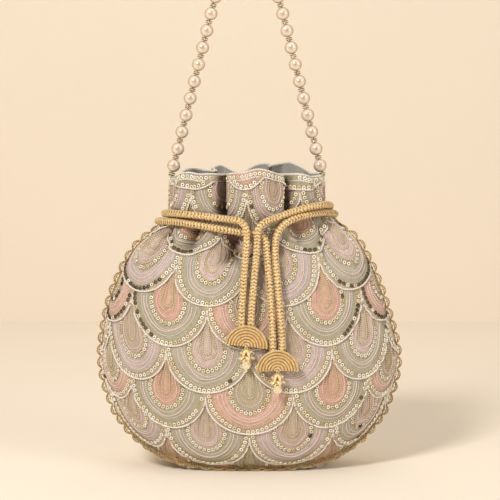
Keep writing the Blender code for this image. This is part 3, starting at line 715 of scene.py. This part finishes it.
def gilt_wire():
    """Purl wire wound over cord for the charms: warm yellow gold, with fine turns across each arc painted
    lighter and darker as painted highlight and shade.
    """
    paint = Paint("gilt_wire")
    turn = paint.wave(paint.attribute("mark"), 0.55)
    tone = paint.math("MULTIPLY_ADD", turn, 0.22, paint.noise(500.0))
    wound = paint.ramp(tone, [(0.2, "#E0AE5E"), (0.5, "#F8D998"), (0.8, "#FFF2CE")])
    # Painted shade: the backing, marked by the hollow attribute, is darker orange like the shaded grooves
    # between the arcs.
    paint.colour(paint.mix(paint.attribute("hollow"), wound, "#CC8C38"))
    paint.set(Roughness=0.4, Metallic=0.25)
    paint.bump(turn, 0.0003, 0.7)
    return paint.material


def grey_satin():
    """Grey satin lining: a soft sheen and fine warp lines."""
    paint = Paint("grey_satin")
    weave = paint.noise(1.0, 2.0, (1400.0, 1400.0, 90.0))
    paint.colour(paint.mix(weave, "#8B8880", "#AAA79E"))
    paint.set(Roughness=0.34, Sheen_Weight=0.4, Anisotropic=0.4)
    paint.bump(weave, 0.0002, 0.4)
    return paint.material


def cream_pearl():
    """Glass pearls with a painted reflection: darker in the middle, bright around it and golden at the edge.
    """
    paint = Paint("cream_pearl")
    facing = paint.node("ShaderNodeLayerWeight", {"Blend": 0.5}).outputs["Facing"]
    # Painted reflection: this ramp on facing gives the dark middle, the bright ring and the golden rim.
    tint = paint.ramp(facing, [(0, "#B59D87"), (0.03, "#C2AC96"), (0.14, "#E6D8C8"), (0.30, "#E0CFB8"),
                               (0.55, "#C4A67C"), (1.0, "#A47C48")])
    paint.colour(paint.shaded(tint, paint.math("MULTIPLY_ADD", paint.noise(160.0), 0.12, 0.94)))
    paint.set(Roughness=0.18, Specular_IOR_Level=0.7, Coat_Weight=1.0, Coat_Roughness=0.03,
              Subsurface_Weight=0.06, Subsurface_Scale=0.003)
    return paint.material


def antique_metal():
    """Rondelle rims: worn silver with dark hollows."""
    paint = Paint("antique_metal")
    paint.colour(paint.ramp(paint.noise(900.0), [(0.3, "#5E564A"), (0.7, "#C9C2B2")]))
    paint.set(Roughness=0.22, Metallic=0.9)
    return paint.material


def cut_crystal():
    """Champagne glass stones, pale and glossy."""
    paint = Paint("cut_crystal")
    paint.colour(paint.ramp(paint.noise(700.0, 1.0), [(0.3, "#F2D69C"), (0.7, "#FFF3D6")]))
    paint.set(Roughness=0.06, Transmission_Weight=0.35, IOR=1.55, Coat_Weight=0.6)
    return paint.material


def leaf_sequin():
    """Thin cream leaves with a gilt heart."""
    paint = Paint("leaf_sequin")
    paint.colour(paint.ramp(paint.attribute("mark"), [(0.0, "#D6A75A"), (0.5, "#EBCB8C"), (1.0, "#F8E8C2")]))
    paint.rough(paint.math("MULTIPLY_ADD", paint.noise(400.0), 0.2, 0.25))
    paint.set(Metallic=0.2, Coat_Weight=0.4)
    return paint.material


CLOTH = embroidered_cloth()
GILT_THREAD = twisted_thread("gilt_thread", "#E4D5AE", "#B0966A", 1.5, 0.4)
THREADS = {"white_gimp": twisted_thread("white_gimp", "#F3EDE4", "#DCD2C4", 1.6, 0.6),
           "pink_twist": twisted_thread("pink_twist", "#E8D5CB", "#D8B2A8", 1.7),
           "gilt_thread": GILT_THREAD,
           "pale_thread": twisted_thread("pale_thread", "#E9E4D8", "#CFCDBF", 1.4)}
SEQUIN = sequin_shell()
CORD = knitted_gold_cord()
LACE = gold_lace()
WIRE = gilt_wire()
SATIN = grey_satin()
PEARL = cream_pearl()
METAL = antique_metal()
CRYSTAL = cut_crystal()
LEAF = leaf_sequin()


# Pieces

def finish_piece(item, body, nodes=()):
    """Flattens what would go through the floor, gives the piece its body and hides the CAD nodes that it
    stands for.
    """
    flat = np.zeros(len(item.data.vertices) * 3, np.float32)
    item.data.vertices.foreach_get("co", flat)
    flat[2::3] = np.maximum(flat[2::3], 0)
    item.data.vertices.foreach_set("co", flat)
    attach(item, body)
    if nodes:
        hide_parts(*nodes)
    return item


def make_camera():
    """A camera in front, a little above the middle of the bag."""
    distance, lift, span = 1.5, math.radians(5), 0.340
    aim = Vector((0.0003, 0, 0.1478))
    data = bpy.data.cameras.new("camera")
    data.lens = data.sensor_width * distance / span
    camera = put_in_scene("camera", data)
    camera.location = aim + distance * Vector((0, -math.cos(lift), math.sin(lift)))
    camera.rotation_euler = (aim - camera.location).to_track_quat("-Z", "Y").to_euler()
    bpy.context.scene.camera = camera


# The drawcords' routes in millimetres: up the front, once round the neck and down the front again
UPPER_ROUTE = [
    (-5.3, -53.7, 103.8), (-5.1, -53.0, 112), (-4.6, -51.6, 121), (-3.9, -49.4, 130.8), (-3.2, -46.8, 140.5),
    (-2.5, -44.6, 149.8), (-1.9, -43.2, 158.9), (-2.7, -42.2, 166.4), (-7.2, -40.0, 170.6),
    (-14, -37.2, 171.4), (-22, -34.6, 172.2), (-31, -31.7, 173.2), (-41.5, -27.3, 174),
    (-50.7, -19.4, 174.2),
    (-56, -9.2, 173.7), (-57.6, 1, 172.7), (-55.4, 10.8, 172.1), (-48.5, 20, 171.1), (-38, 27.8, 170),
    (-25, 33.3, 169.2), (-10, 36, 168.7), (6, 36.1, 168.9), (21, 33.5, 170), (34, 28.4, 171.8),
    (44.5, 20.6, 174), (51.8, 10.8, 176.3), (54.7, 0, 177.6), (53.4, -9.6, 179.3), (49.2, -20.4, 180),
    (39.8, -27.5, 179), (28, -31.4, 175.9), (18.5, -35.6, 172.6), (10.6, -39.6, 170),
    (5.9, -42.3, 165.4), (5.1, -43.4, 157.9), (4.6, -44.8, 149.8), (3.8, -46.9, 140.5), (2.9, -49.5, 130.8),
    (2.0, -51.7, 121), (1.3, -53.0, 112), (0.9, -53.7, 103.8),
]
LOWER_ROUTE = [
    (15.3, -53.6, 87.5), (15.0, -53.6, 97), (14.5, -52.9, 108), (13.9, -51.2, 119), (13.1, -48.9, 130.4),
    (12.2, -45.9, 140.5), (11.4, -42.4, 149.8), (10.4, -39.4, 157.4), (6.0, -37.5, 161.3),
    (-1, -37.3, 162.1),
    (-9, -36.8, 163.3), (-18, -35.2, 164.7), (-28, -32.4, 166.1), (-38, -28.2, 167.4),
    (-47, -21.6, 168.3), (-54.9, -13.3, 168.4), (-61.9, -2.2, 167.6), (-59.0, 9.6, 167), (-50, 18.6, 165.8),
    (-39, 27.2, 164.6), (-25, 33.3, 163.8), (-10, 36, 163.4), (6, 36.1, 163.6), (21, 33.5, 164.7),
    (34, 28.4, 166.5), (44.5, 20.6, 168.7), (53.8, 11.8, 171), (58.1, 0, 172.3), (54.0, -9.8, 174),
    (47.2, -18.4, 174.5), (38.6, -25.9, 173.6), (29.5, -31.2, 171.3), (22.4, -35.2, 167.3),
    (18.2, -38.0, 160.8), (17.0, -40.8, 152.5), (17.3, -44.4, 143.5), (18.2, -48.0, 133.6),
    (19.3, -51.0, 121),
    (20.4, -52.9, 108), (21.3, -53.6, 97), (21.5, -53.6, 87.5),
]

# Each charm's centre in millimetres and its tilt in degrees
CHARMS = {"left": ((-2.2, -54.8, 89.0), 6.5), "right": ((18.4, -54.8, 72.7), -1.0)}
CHARM_RADIUS = 13.6
CHARM_ARCS = (13.3, 11.4, 9.5, 7.6, 5.7, 3.8, 1.9)

# The leaves of a drop: their number, the height of their tops, their length, how far they open,
# half their width, and how far they fall, in millimetres
LEAF_TIERS = ((5, -1.6, 5.2, 0.62, 1.5, 5.5), (6, -6.2, 5.2, 1.0, 1.9, 2.6), (5, -7.2, 3.4, 0.9, 1.4, 3.4))
DROP_BEADS = ((-3.4, -4.4), (3.2, -3.6), (3.9, -7.4), (-4.3, -8.0))


def make_cord(name, route, charm, twist):
    """A knitted tube: columns of slanted loops run along it, with small gaps between them."""
    tucked = [(x, y + 1.0, z - 2.4) for x, y, z in (route[0], route[-1])]
    track = Track(np.array([tucked[0]] + route + [tucked[1]]) * MM)
    sides, columns, stitch = 28, 4, 0.0023
    count = int(track.length / stitch * 8)
    path = np.stack(track.at(np.linspace(0, 1, count)), axis=-1)
    run = np.linspace(0, track.length, count)[:, None] / stitch * 2 * math.pi
    column = (columns * np.arange(sides) / sides + twist + 0.03 * np.sin(run / 9)) % 1
    slant = np.abs(column - 0.5) * 2
    loop = np.cos(run + 2.8 * slant + 0.5 * np.sin(run / 7))
    valley = hump(slant, 1, 0.25)
    height = np.clip(0.58 + 0.42 * loop - 0.5 * valley * (0.6 - 0.4 * loop), 0, 1)
    bunch = Bunch()
    # The mark is the stitch height; the material paints the low gaps darker, as painted shade.
    tube(bunch, path, CORD_DIAMETER / 2 * (0.86 + 0.18 * height), sides, mark=0.15 + 0.75 * height)
    cord = finish_piece(bunch.build(name, CORD), "bag", [name])
    return cord


def make_charm(side):
    """A half disc of wound wire arcs on a thin backing."""
    (x_to, y_to, z_to), tilt = CHARMS[side]
    bunch = Bunch()

    def arc_at(radius, depth, angle):
        x, z = radius * np.cos(angle), radius * np.sin(angle)
        return np.stack([x, np.full(len(angle), depth), z], axis=-1) * MM

    angle = np.linspace(0, math.pi, 60)
    facing = np.tile([0.0, -1.0, 0.0], (60, 1))
    for radius in CHARM_ARCS:
        wander = 0.08 * np.sin(angle * 5 + radius)
        tube(bunch, arc_at(radius + wander, -0.75, angle), 0.74 * MM, 10, normal=facing)
    front, back = [arc_at(CHARM_RADIUS, depth, np.linspace(0, math.pi, 40)) for depth in (-0.3, 1.4)]
    # The backing's hollow value makes the material paint it darker, as shade between the arcs.
    bunch.add(front, [tuple(range(40))], 0.0, 1.0)
    bunch.add(back, [tuple(range(40))[::-1]], 0.0, 1.0)
    wall = [(i, 40 + i, 41 + i, i + 1) for i in range(39)] + [(39, 79, 40, 0)]
    bunch.add(np.vstack([front, back]), wall, 0.0, 0.6)
    item = bunch.build("wound_charm_" + side, WIRE)
    cos, sin = math.cos(math.radians(tilt)), math.sin(math.radians(tilt))
    for vertex in item.data.vertices:
        x, y, z = vertex.co
        vertex.co = (x * cos + z * sin + x_to * MM, y + y_to * MM, -x * sin + z * cos + z_to * MM)
    return finish_piece(item, "bag", ["charm_" + side])


def leaf_points(around, top, reach, open_by, wide, fall, rings):
    """One leaf that hangs down and opens outwards: three points across at each ring, and their marks."""
    way = np.array([math.cos(around), 0.5 * math.sin(around), 0.0])
    side_way = np.array([-math.sin(around), 0.6 * math.cos(around), 0.0])
    points, marks = [], []
    for t in np.arange(rings) / (rings - 1):
        half = wide * math.sin(math.pi * min(t * 0.92 + 0.06, 1)) ** 0.7
        out = open_by * reach * math.sin(t * math.pi / 2)
        drop = np.array([0, 0, top - fall * t ** 1.3])
        for across, dip in ((-half, 0), (0, 0.35 * half), (half, 0)):
            points.append(way * (out + dip * 0.5) + side_way * across + drop)
            marks.append(t)
    return np.array(points), marks


def make_drop(side):
    """Leaf sequins and a cut bead on a short thread below a charm."""
    hub = np.array(CHARMS[side][0]) * MM
    body = side + "_drop"
    rings = 7
    leaves = Bunch()
    for tier, (count, *form) in enumerate(LEAF_TIERS):
        for i in range(count):
            points, leaf_marks = leaf_points(2 * math.pi * (i + 0.5 * tier) / count + 0.3, *form, rings)
            leaves.add(points * MM + hub, grid_faces(rings, 3).tolist(), leaf_marks)
    leaf = leaves.build("leaf_sequins_" + side, LEAF)
    leaf.modifiers.new("thickness", "SOLIDIFY").thickness = 0.00025
    finish_piece(leaf, body, ["bead_drop_" + side])

    stones = Bunch()
    turns = np.radians(np.linspace(68, -68, 6))
    round_bead = [(0, 2.95)] + [(3.1 * math.cos(a), 3.1 * math.sin(a)) for a in turns] + [(0, -2.95)]
    points, faces = turned(round_bead, 10)
    stones.add(points * MM + hub + np.array([0, 0, -12.6 * MM]), faces)
    bead, bead_faces = turned([(0, 0.9), (0.7, 0.55), (0.9, 0), (0.7, -0.55), (0, -0.9)], 8)
    for x, z in ((0.0, -16.4),) + DROP_BEADS + ((0.2, -8.6),):
        stones.add((bead + np.array([x, -0.6 if x else 0.0, z])) * MM + hub, bead_faces)
    finish_piece(stones.build("cut_bead_" + side, CRYSTAL, False), body)

    thread = Bunch()
    for shift in (-0.7, 0.7):
        route = [(0.1 * shift, 0, 0.4), (shift, -0.3, -1.2), (0.6 * shift, 0, -2.6), (0, 0, -3.4),
                 (0, 0, -9.4)]
        tube(thread, catmull(route, 6) * MM + hub, 0.35 * MM, 6)
    for reach, low in DROP_BEADS:
        route = [(0, 0, -1.4), (0.55 * reach, -0.9, 0.45 * low), (reach, -0.6, low),
                 (0.5 * reach, 0.2, 1.1 * low), (0, 0, -8.6)]
        tube(thread, catmull(route, 6) * MM + hub, 0.22 * MM, 5)
    tube(thread, np.array([(-1.4, 0.2, 0), (0, -0.2, 0.3), (1.4, 0.2, 0)]) * MM + hub, 0.9 * MM, 8)
    finish_piece(thread.build("drop_thread_" + side, GILT_THREAD), body)


# The raised lines of a scale, outside in: ring, thread, radius and lift in metres
RAISED_LINES = (
    (0.70, "pink_twist", 0.00050, 0.0002), (0.885, "gilt_thread", 0.00026, 0.0001),
    (0.56, "gilt_thread", 0.00026, 0.0001), (0.78, "pale_thread", 0.00024, 0.0001),
    (0.63, "pale_thread", 0.00024, 0.0001), (0.445, "gilt_thread", 0.00036, 0.0003),
    (0.345, "pink_twist", 0.00036, 0.0003), (0.245, "gilt_thread", 0.00040, 0.0003),
    (0.13, "gilt_thread", 0.00040, 0.0003))

# The sequins of a scale: ring, and pitch in millimetres; their lift, the share that is missing,
# and how likely one is painted dark (a painted reflection) anywhere and in the dark places
SEQUIN_RINGS = ((0.945, 3.2), (0.50, 3.1))
SEQUIN_LIFT = 0.00055
MISSING = 0.03
DARK_ANYWHERE = 0.008
DARK_IN_ZONE = 0.85
EDGE_CORD_RADIUS = 0.00062


def ring_line(ring, steps=26):
    """Places across and up of one ring of a scale, from the tip down, round and up again."""
    rise = np.linspace(TEAR * 0.9, 0, 12)[:-1]
    share = ring * (1 - (rise / TEAR) ** 1.5)
    angle = np.linspace(math.pi, 2 * math.pi, steps)
    wide = np.concatenate([-share, ring * np.cos(angle), share[::-1]])
    up = np.concatenate([rise, ring * np.sin(angle), rise[::-1]])
    return np.sign(wide) * (1.25 - np.sqrt(1.5625 - np.minimum(np.abs(wide), 1))) / 0.5, up


def shown_runs(side, p, r, row, least=4):
    """The stretches of a line that lie on the cloth and on their own scale."""
    u, w = place_of(side, p, r)
    own = own_scale(p, r + 0.02)[0] == row
    shown = (np.abs(u) < 0.992) & (w > 0.004) & (w < 1.90) & own
    start = None
    for i, good in enumerate(list(shown) + [False]):
        if good and start is None:
            start = i
        elif not good and start is not None:
            if i - start >= least:
                yield slice(start, i)
            start = None


def hollow_of(side, p, r):
    """How much painted shade a place of the pattern gets, deep in a fold and elsewhere as hollow_at gives
    it.
    """
    return hollow_at(side, *place_of(side, p, r))


def shake(count):
    """A slow, small wander for a line laid by hand."""
    knots = RNG.normal(0, 0.014, count // 5 + 3)
    return np.interp(np.linspace(0, len(knots) - 1, count), np.arange(len(knots)), knots)


def sequin_shape():
    """A ring, dished, with nine sides."""
    sides, profile = 9, ((0.50, 0.05), (1.0, 0.48), (1.46, 0.0))
    turn = np.arange(sides) * 2 * math.pi / sides
    points = [(r * math.cos(t) * MM, r * math.sin(t) * MM, z * MM) for t in turn for r, z in profile]
    faces = []
    for i in range(sides):
        j = (i + 1) % sides
        faces += [(3 * i + (k + 1) % 3, 3 * j + (k + 1) % 3, 3 * j + k, 3 * i + k) for k in range(3)]
    bunch = Bunch()
    bunch.add(points, faces)
    return bunch


def embroider(side, word):
    """The raised lines and the ring sequins of one panel."""
    bunches = {name: Bunch() for name in THREADS}
    white = bunches["white_gimp"]
    places, ways, marks = [], [], []

    def lay(bunch, p, r, row, radius, sides, lift):
        for run in shown_runs(side, p, r, row):
            path, way = on_cloth(side, p[run], r[run], lift)
            tube(bunch, path, radius, sides, normal=way, hollow=hollow_of(side, p[run], r[run]))

    for row in ROWS:
        for centre in range(-6, 7):
            if (centre - row) % 2:
                continue
            x = np.sin(np.linspace(-math.pi / 2, math.pi / 2, 45))
            lay(white, centre + x, row + arch_of(x), row, EDGE_CORD_RADIUS, 6, 0.0004)
            for ring, thread, radius, lift in RAISED_LINES:
                x, y = ring_line(ring + RNG.normal(0, 0.006))
                x, y = x + shake(len(x)), y + shake(len(x))
                lay(bunches[thread], centre + x, row + 1 + y, row, radius, 5, lift)
            for ring, pitch in SEQUIN_RINGS:
                outer = ring > 0.9
                x, y = ring_line(ring, 60)
                p, r = centre + x, row + 1 + y
                for run in shown_runs(side, p, r, row, 6):
                    path, _ = on_cloth(side, p[run], r[run])
                    steps = run_along(path)
                    stops = np.arange(0.9 * MM, steps[-1] - 0.7 * MM, pitch * MM)
                    stops = stops[RNG.random(len(stops)) > MISSING]
                    at_p, at_r = np.interp(stops, steps, p[run]), np.interp(stops, steps, r[run])
                    spot, way = on_cloth(side, at_p, at_r, SEQUIN_LIFT)
                    places.append(spot)
                    ways.append(way)

                    # Near the seams, and at the hearts of the row below the neck, most sequins are painted
                    # dark, a painted reflection
                    zone = smooth(2.2, 2.6, np.abs(at_p)) * smooth(1.7, 2.1, at_r)
                    zone = zone * (1 - smooth(4.1, 4.5, at_r))
                    if row == 4 and outer:
                        zone = np.maximum(zone, 1 - smooth(0.25, 0.45, np.abs(x_of(at_p, row))))
                    drawn = RNG.random(len(stops))
                    dark_run = outer or RNG.random() < 0.3
                    dim = drawn < DARK_ANYWHERE + DARK_IN_ZONE * zone * dark_run
                    # Painted reflection and shade: each sequin gets a random brightness, lowered in folds.
                    light = RNG.uniform(0.3, 1.0, len(stops)) * (1 - 0.75 * hollow_of(side, at_p, at_r))
                    marks.append(np.where(dim, RNG.uniform(0, 0.12, len(stops)), light))

    # The corded rim, a row of sequins along it and a line below them
    across = np.linspace(-0.985, 0.985, 150)
    rim = cloth(side, across, 2.0, 0.0009)
    # Painted shade: the rim cord gets a little all along, and the line below it the shade of its folds.
    tube(white, rim + np.array([0, 0, 0.0002]), 0.0009, 6, hollow=0.12)
    at_u = np.arange(-0.955, 0.96, 0.034)
    level = np.full(len(at_u), 1.945)
    places.append(cloth(side, at_u, level, -0.0008))
    ways.append(outward(side, at_u, level))
    # Painted reflection and shade: the rim sequins get a random brightness, lowered in folds.
    marks.append(RNG.uniform(0.4, 1.0, len(at_u)) * (1 - 0.75 * hollow_at(side, at_u, level)))
    tube(white, cloth(side, across, 1.89, -0.0005), 0.0006, 6, hollow=hollow_at(side, across, 1.89))

    made = [finish_piece(bunches[name].build(word + "_" + name, paint), "bag")
            for name, paint in THREADS.items()]
    places, ways, marks = np.vstack(places), np.vstack(ways), np.concatenate(marks)
    sequins = scatter(word + "_sequins", sequin_shape(), places, ways, (0.0, 0.2, 1.0), marks, SEQUIN,
                      tilt=0.16, seed=3)
    made.append(finish_piece(sequins, "bag"))
    return made


def make_panel(side, word, columns, rows):
    """One embroidered panel: the cloth with its relief, turned in over the rim."""
    body, collar = TRACKS[side]
    upper = int(rows * collar.length / (body.length + collar.length)) + 8
    w = np.concatenate([np.linspace(0, 1, rows - upper), np.linspace(1, 2, upper)[1:]])
    u = np.linspace(-1, 1, columns)
    big_u, big_w = np.meshgrid(u, w)
    p, r = pattern_at(big_u, row_of(side, big_w))
    # Painted shade for each point, which the cloth's material reads.
    hollow = hollow_at(side, big_u, big_w)
    points, _ = on_cloth(side, p.ravel(), r.ravel())
    turned_in = [cloth(side, u, 2 - back, inset)
                 for back, inset in ((0.0, 0.0009), (0.02, 0.0018), (0.08, 0.0021))]
    points = np.concatenate([points.reshape(len(w), columns, 3), np.stack(turned_in)])
    p, hollow = [np.vstack([grid] + [grid[-1:]] * 3) for grid in (p, hollow)]
    r = np.vstack([r] + [r[-1:] + further for further in (0.02, 0.05, 0.1)])
    faces = grid_faces(len(points), columns)
    if side == BACK_SIDE:
        faces = faces[:, ::-1]
    bunch = Bunch()
    bunch.add(points, faces.tolist(), 0.0, hollow.ravel())
    item = bunch.build("embroidered_" + word, CLOTH)
    chart = item.data.uv_layers.new(name="pattern")
    corners = np.zeros(len(item.data.loops), np.int32)
    item.data.loops.foreach_get("vertex_index", corners)
    places = np.stack([p.ravel(), r.ravel()], axis=-1).astype(np.float32)
    chart.data.foreach_set("uv", places[corners].ravel())
    return finish_piece(item, "bag", [word + "_panel"])


def make_lining():
    """The satin pouch inside, loose below the rim."""
    u = np.linspace(-1, 1, 120)
    rows = []
    for w in np.concatenate([np.linspace(0, 1, 24), np.linspace(1, 2, 30)[1:]]):
        inset = 0.0024 + 0.0046 * (1 - float(smooth(1.2, 2, w)))
        rows.append(np.vstack([cloth(FRONT_SIDE, u, w, inset), cloth(BACK_SIDE, u[1:-1][::-1], w, inset)]))
    points = np.stack(rows)
    bunch = Bunch()
    bunch.add(points, grid_faces(len(points), points.shape[1], True)[:, ::-1].tolist())
    return finish_piece(bunch.build("satin_lining", SATIN), "bag", ["lining"])


# The lace: width of an arc and least height over the floor in metres; where the arcs start,
# and the height and radius of both arcs, in millimetres
LACE_PITCH = 0.0084
LACE_FLOOR = 0.0007
LACE_FOOT = 0.7
LACE_ARCS = ((4.1, 0.50), (2.9, 0.36))


def make_lace():
    """The openwork edge: a braided heading along the seam, with double arcs standing out from it."""
    left = cloth(FRONT_SIDE, np.full(160, -1.0), np.linspace(2, 0, 160))
    under = cloth(FRONT_SIDE, np.linspace(-1, 1, 161)[1:-1], np.zeros(159))
    right = cloth(FRONT_SIDE, np.full(160, 1.0), np.linspace(0, 2, 160))
    path = np.vstack([left, under, right])
    marks = run_along(path)
    count = round(marks[-1] / LACE_PITCH)
    pitch = marks[-1] / count

    def at(run):
        return np.stack([np.interp(run, marks, column) for column in path.T], axis=-1)

    def away(run):
        place = at(run)
        along = unit(at(np.minimum(run + 0.003, marks[-1])) - at(np.maximum(run - 0.003, 0)))
        flat = unit(np.stack([along[:, 2], 0 * run, -along[:, 0]], axis=-1))
        sign = np.sign((flat * (place - np.array([0, 0, NECK_HEIGHT / 2]))).sum(1))[:, None]
        low = (1 - smooth(0.04, 0.3, place[:, 2] / NECK_HEIGHT))[:, None]
        return unit(flat * sign + low * np.array([0, -0.7, 0]))

    def above_floor(points):
        return np.stack([points[:, 0], points[:, 1], np.maximum(points[:, 2], LACE_FLOOR)], axis=-1)

    bunch = Bunch()
    every = np.linspace(0, marks[-1], count * 8)
    out = away(every)
    for shift, radius in ((0.0002, 0.00062), (0.0011, 0.00045)):
        wave = 0.00018 * np.sin(every / 0.0016 * math.pi)[:, None]
        tube(bunch, above_floor(at(every) + out * (shift + wave)), radius, 6)
    for k in range(count):
        share = np.linspace(0, 1, 15)
        run = (k + share) * pitch
        way = away(run)
        place = at(run)
        squeeze = 1 - 0.78 * smooth(NECK_HEIGHT - 0.014, NECK_HEIGHT - 0.002, place[:, 2])
        arch = np.abs(np.sin(math.pi * share)) ** 0.62
        for height, radius in LACE_ARCS:
            reach = (LACE_FOOT + (height - LACE_FOOT) * arch) * MM * squeeze
            tube(bunch, above_floor(place + way * reach[:, None]), radius * MM, 6)
        middle = np.array([(k + 0.5) * pitch])
        one = at(middle) + away(middle) * 0.0005
        two = at(middle) + away(middle) * 0.0037 * squeeze[7]
        tube(bunch, above_floor(np.vstack([one, (one + two) / 2, two])), 0.00028, 5)
    return finish_piece(bunch.build("scalloped_lace", LACE), "bag", ["seam_trim"])


def middle_of(name):
    """The middle of a CAD node's box."""
    low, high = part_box(name)
    return (np.array(low) + np.array(high)) / 2


def turned_bunch(profile, sides):
    """One turned shape, from a profile in millimetres."""
    points, faces = turned(profile, sides)
    bunch = Bunch()
    bunch.add(points * MM, faces)
    return bunch


def thread_ring(bunch, centre, first, second, radius, thickness):
    """A loop of thread about a centre."""
    turn = np.linspace(0, 2 * math.pi, 17)[:-1, None]
    ring = centre + radius * (np.cos(turn) * first + np.sin(turn) * second)
    tube(bunch, ring, thickness, 6, closed=True)


def make_handle():
    """Pearls and stone rondelles on a thread, and the thread loops on the rim that hold it."""
    names = sorted(name for name in NODES if name.startswith("pearl_"))
    centres = np.array([middle_of(name) for name in names])
    along = unit(np.gradient(centres, axis=0))
    radius = PEARL_DIAMETER / 2 / MM
    pole = radius * 0.955
    angles = np.radians(np.linspace(76, -76, 13))
    profile = [(0, pole)] + [(radius * math.cos(a), radius * math.sin(a)) for a in angles] + [(0, -pole)]
    front = (0.0, 1.0, 0.0)
    marks = RNG.random(len(centres))
    pearls = scatter("pearls", turned_bunch(profile, 22), centres, along, front, marks, PEARL)
    finish_piece(pearls, "handle", names)

    first, last = centres[0] * 1.5 - centres[1] * 0.5, centres[-1] * 1.5 - centres[-2] * 0.5
    gaps = np.vstack([[first], (centres[1:] + centres[:-1]) / 2, [last]])
    ways = unit(np.gradient(gaps, axis=0))
    marks = np.ones(len(gaps))
    spool = [(0, 1.15), (1.5, 1.15), (2.2, 0.95), (2.2, 0.6), (1.5, 0.45), (1.5, -0.45), (2.2, -0.6),
             (2.2, -0.95), (1.5, -1.15), (0, -1.15)]
    metal = scatter("rondelles", turned_bunch(spool, 14), gaps, ways, front, marks, METAL)
    finish_piece(metal, "handle")
    stones = Bunch()
    stone, stone_faces = turned([(0, 0.72), (0.62, 0.2), (0.62, -0.2), (0, -0.72)], 6)
    for turn in 2 * math.pi * np.arange(8) / 8:
        way = np.array([math.cos(turn), math.sin(turn), 0.0])
        stones.add(placed(stone, 1.62 * way, way, (0.0, 0.0, 1.0)) * MM, stone_faces)
    crystals = scatter("rondelle_stones", stones, gaps, ways, front, marks, CRYSTAL, smooth_faces=False)
    finish_piece(crystals, "handle")

    loop_names = ["handle_loop_left", "handle_loop_right"]
    loops = [middle_of(name) for name in loop_names]
    thread = Bunch()
    tops = [loop + np.array([0, 0, 0.0019]) for loop in loops]
    path = catmull(np.vstack([[tops[0]], centres, [tops[1]]]), 6)
    tube(thread, path, THREAD_DIAMETER / 2, 6)
    for loop, way in ((loops[0], along[0]), (loops[1], -along[-1])):
        thread_ring(thread, loop + np.array([0, 0, 0.0015]), way, np.cross(way, [0, 1, 0]), 0.0012, 0.0004)
    string = thread.build("bead_thread", GILT_THREAD)
    finish_piece(string, "handle", ["handle_string"])
    length = float(run_along(path)[-1])
    knots = Bunch()
    for loop in loops:
        thread_ring(knots, loop, np.array([0, 1, 0]), np.array([0, 0, 1]), 0.0015, 0.00045)
    finish_piece(knots.build("rim_loops", GILT_THREAD), "bag", loop_names)


def cream_plaster(name, first, second):
    """Smooth matt plaster, a little cloudy. It is clear from behind, so it never hides the bag's back."""
    paint = Paint(name)
    paint.colour(paint.mix(paint.noise(2.0), first, second))
    paint.set(Roughness=0.9, Specular_IOR_Level=0.1)
    paint.bump(paint.noise(40.0, 3.0), 0.001, 0.1)
    behind = paint.node("ShaderNodeNewGeometry").outputs["Backfacing"]
    paint.tree.links.new(paint.math("SUBTRACT", 1.0, behind), paint.shader.inputs["Alpha"])
    return paint.material


def plain_stage():
    """A pale floor and wall in plain light."""
    paints = {"floor": cream_plaster("pale_floor", "#FAF0E0", "#FFF5E6"),
              "wall": cream_plaster("pale_wall", "#ECDFCD", "#F2E6D5")}
    for name, corners in (("floor", [(-3, -2, 0), (3, -2, 0), (3, 0.83, 0), (-3, 0.83, 0)]),
                          ("wall", [(-3, 0.82, -0.2), (3, 0.82, -0.2), (3, 0.82, 2.5), (-3, 0.82, 2.5)])):
        mesh = bpy.data.meshes.new(name)
        mesh.from_pydata(corners, [], [(0, 1, 2, 3)])
        mesh.materials.append(paints[name])
        put_in_scene(name, mesh)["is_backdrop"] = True


def add_lamp(name, place, aim, size, power, colour):
    """A square lamp that shines at a point."""
    data = bpy.data.lights.new(name, "AREA")
    data.size = size
    data.energy = power
    data.color = colour
    item = put_in_scene(name, data)
    item.location = place
    item.rotation_euler = (Vector(aim) - Vector(place)).to_track_quat("-Z", "Y").to_euler()


def light_scene():
    """Soft warm light: a key lamp, a fill lamp and one for the wall."""
    bpy.context.scene.view_settings.view_transform = "Standard"
    world = bpy.data.worlds.new("world")
    bpy.context.scene.world = world
    world.use_nodes = True
    sky = world.node_tree.nodes["Background"]
    sky.inputs["Color"].default_value = (1.0, 0.95, 0.89, 1)
    sky.inputs["Strength"].default_value = 0.25
    add_lamp("key", (-0.75, -1.5, 1.25), (0, 0, 0.1), 0.4, 29, (1.0, 0.96, 0.91))
    add_lamp("fill", (1.3, -1.2, 0.7), (0, 0, 0.12), 0.9, 10.5, (1.0, 0.96, 0.92))
    add_lamp("back_wall", (0, 0.1, 1.7), (0, 0.82, 0.4), 1.2, 4.2, (1.0, 0.96, 0.92))


def main():
    """Makes every piece, the stage and the light."""
    make_camera()
    charms = {side: make_charm(side) for side in CHARMS}
    make_cord("drawcord_upper", UPPER_ROUTE, charms["left"], 0.0)
    make_cord("drawcord_lower", LOWER_ROUTE, charms["right"], 0.4)
    for side in CHARMS:
        make_drop(side)
    make_handle()
    for side, word, flat, grid in ((FRONT_SIDE, "front", (0.250, 0.215), (270, 250)),
                                   (BACK_SIDE, "back", (0.250, 0.260), (220, 220))):
        panel = make_panel(side, word, *grid)
        trims = embroider(side, word)
    lining = make_lining()
    make_lace()
    plain_stage()
    light_scene()


main()
[[list(map(float, corner)) for corner in box] for box in (FIRST_BOX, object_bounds())]
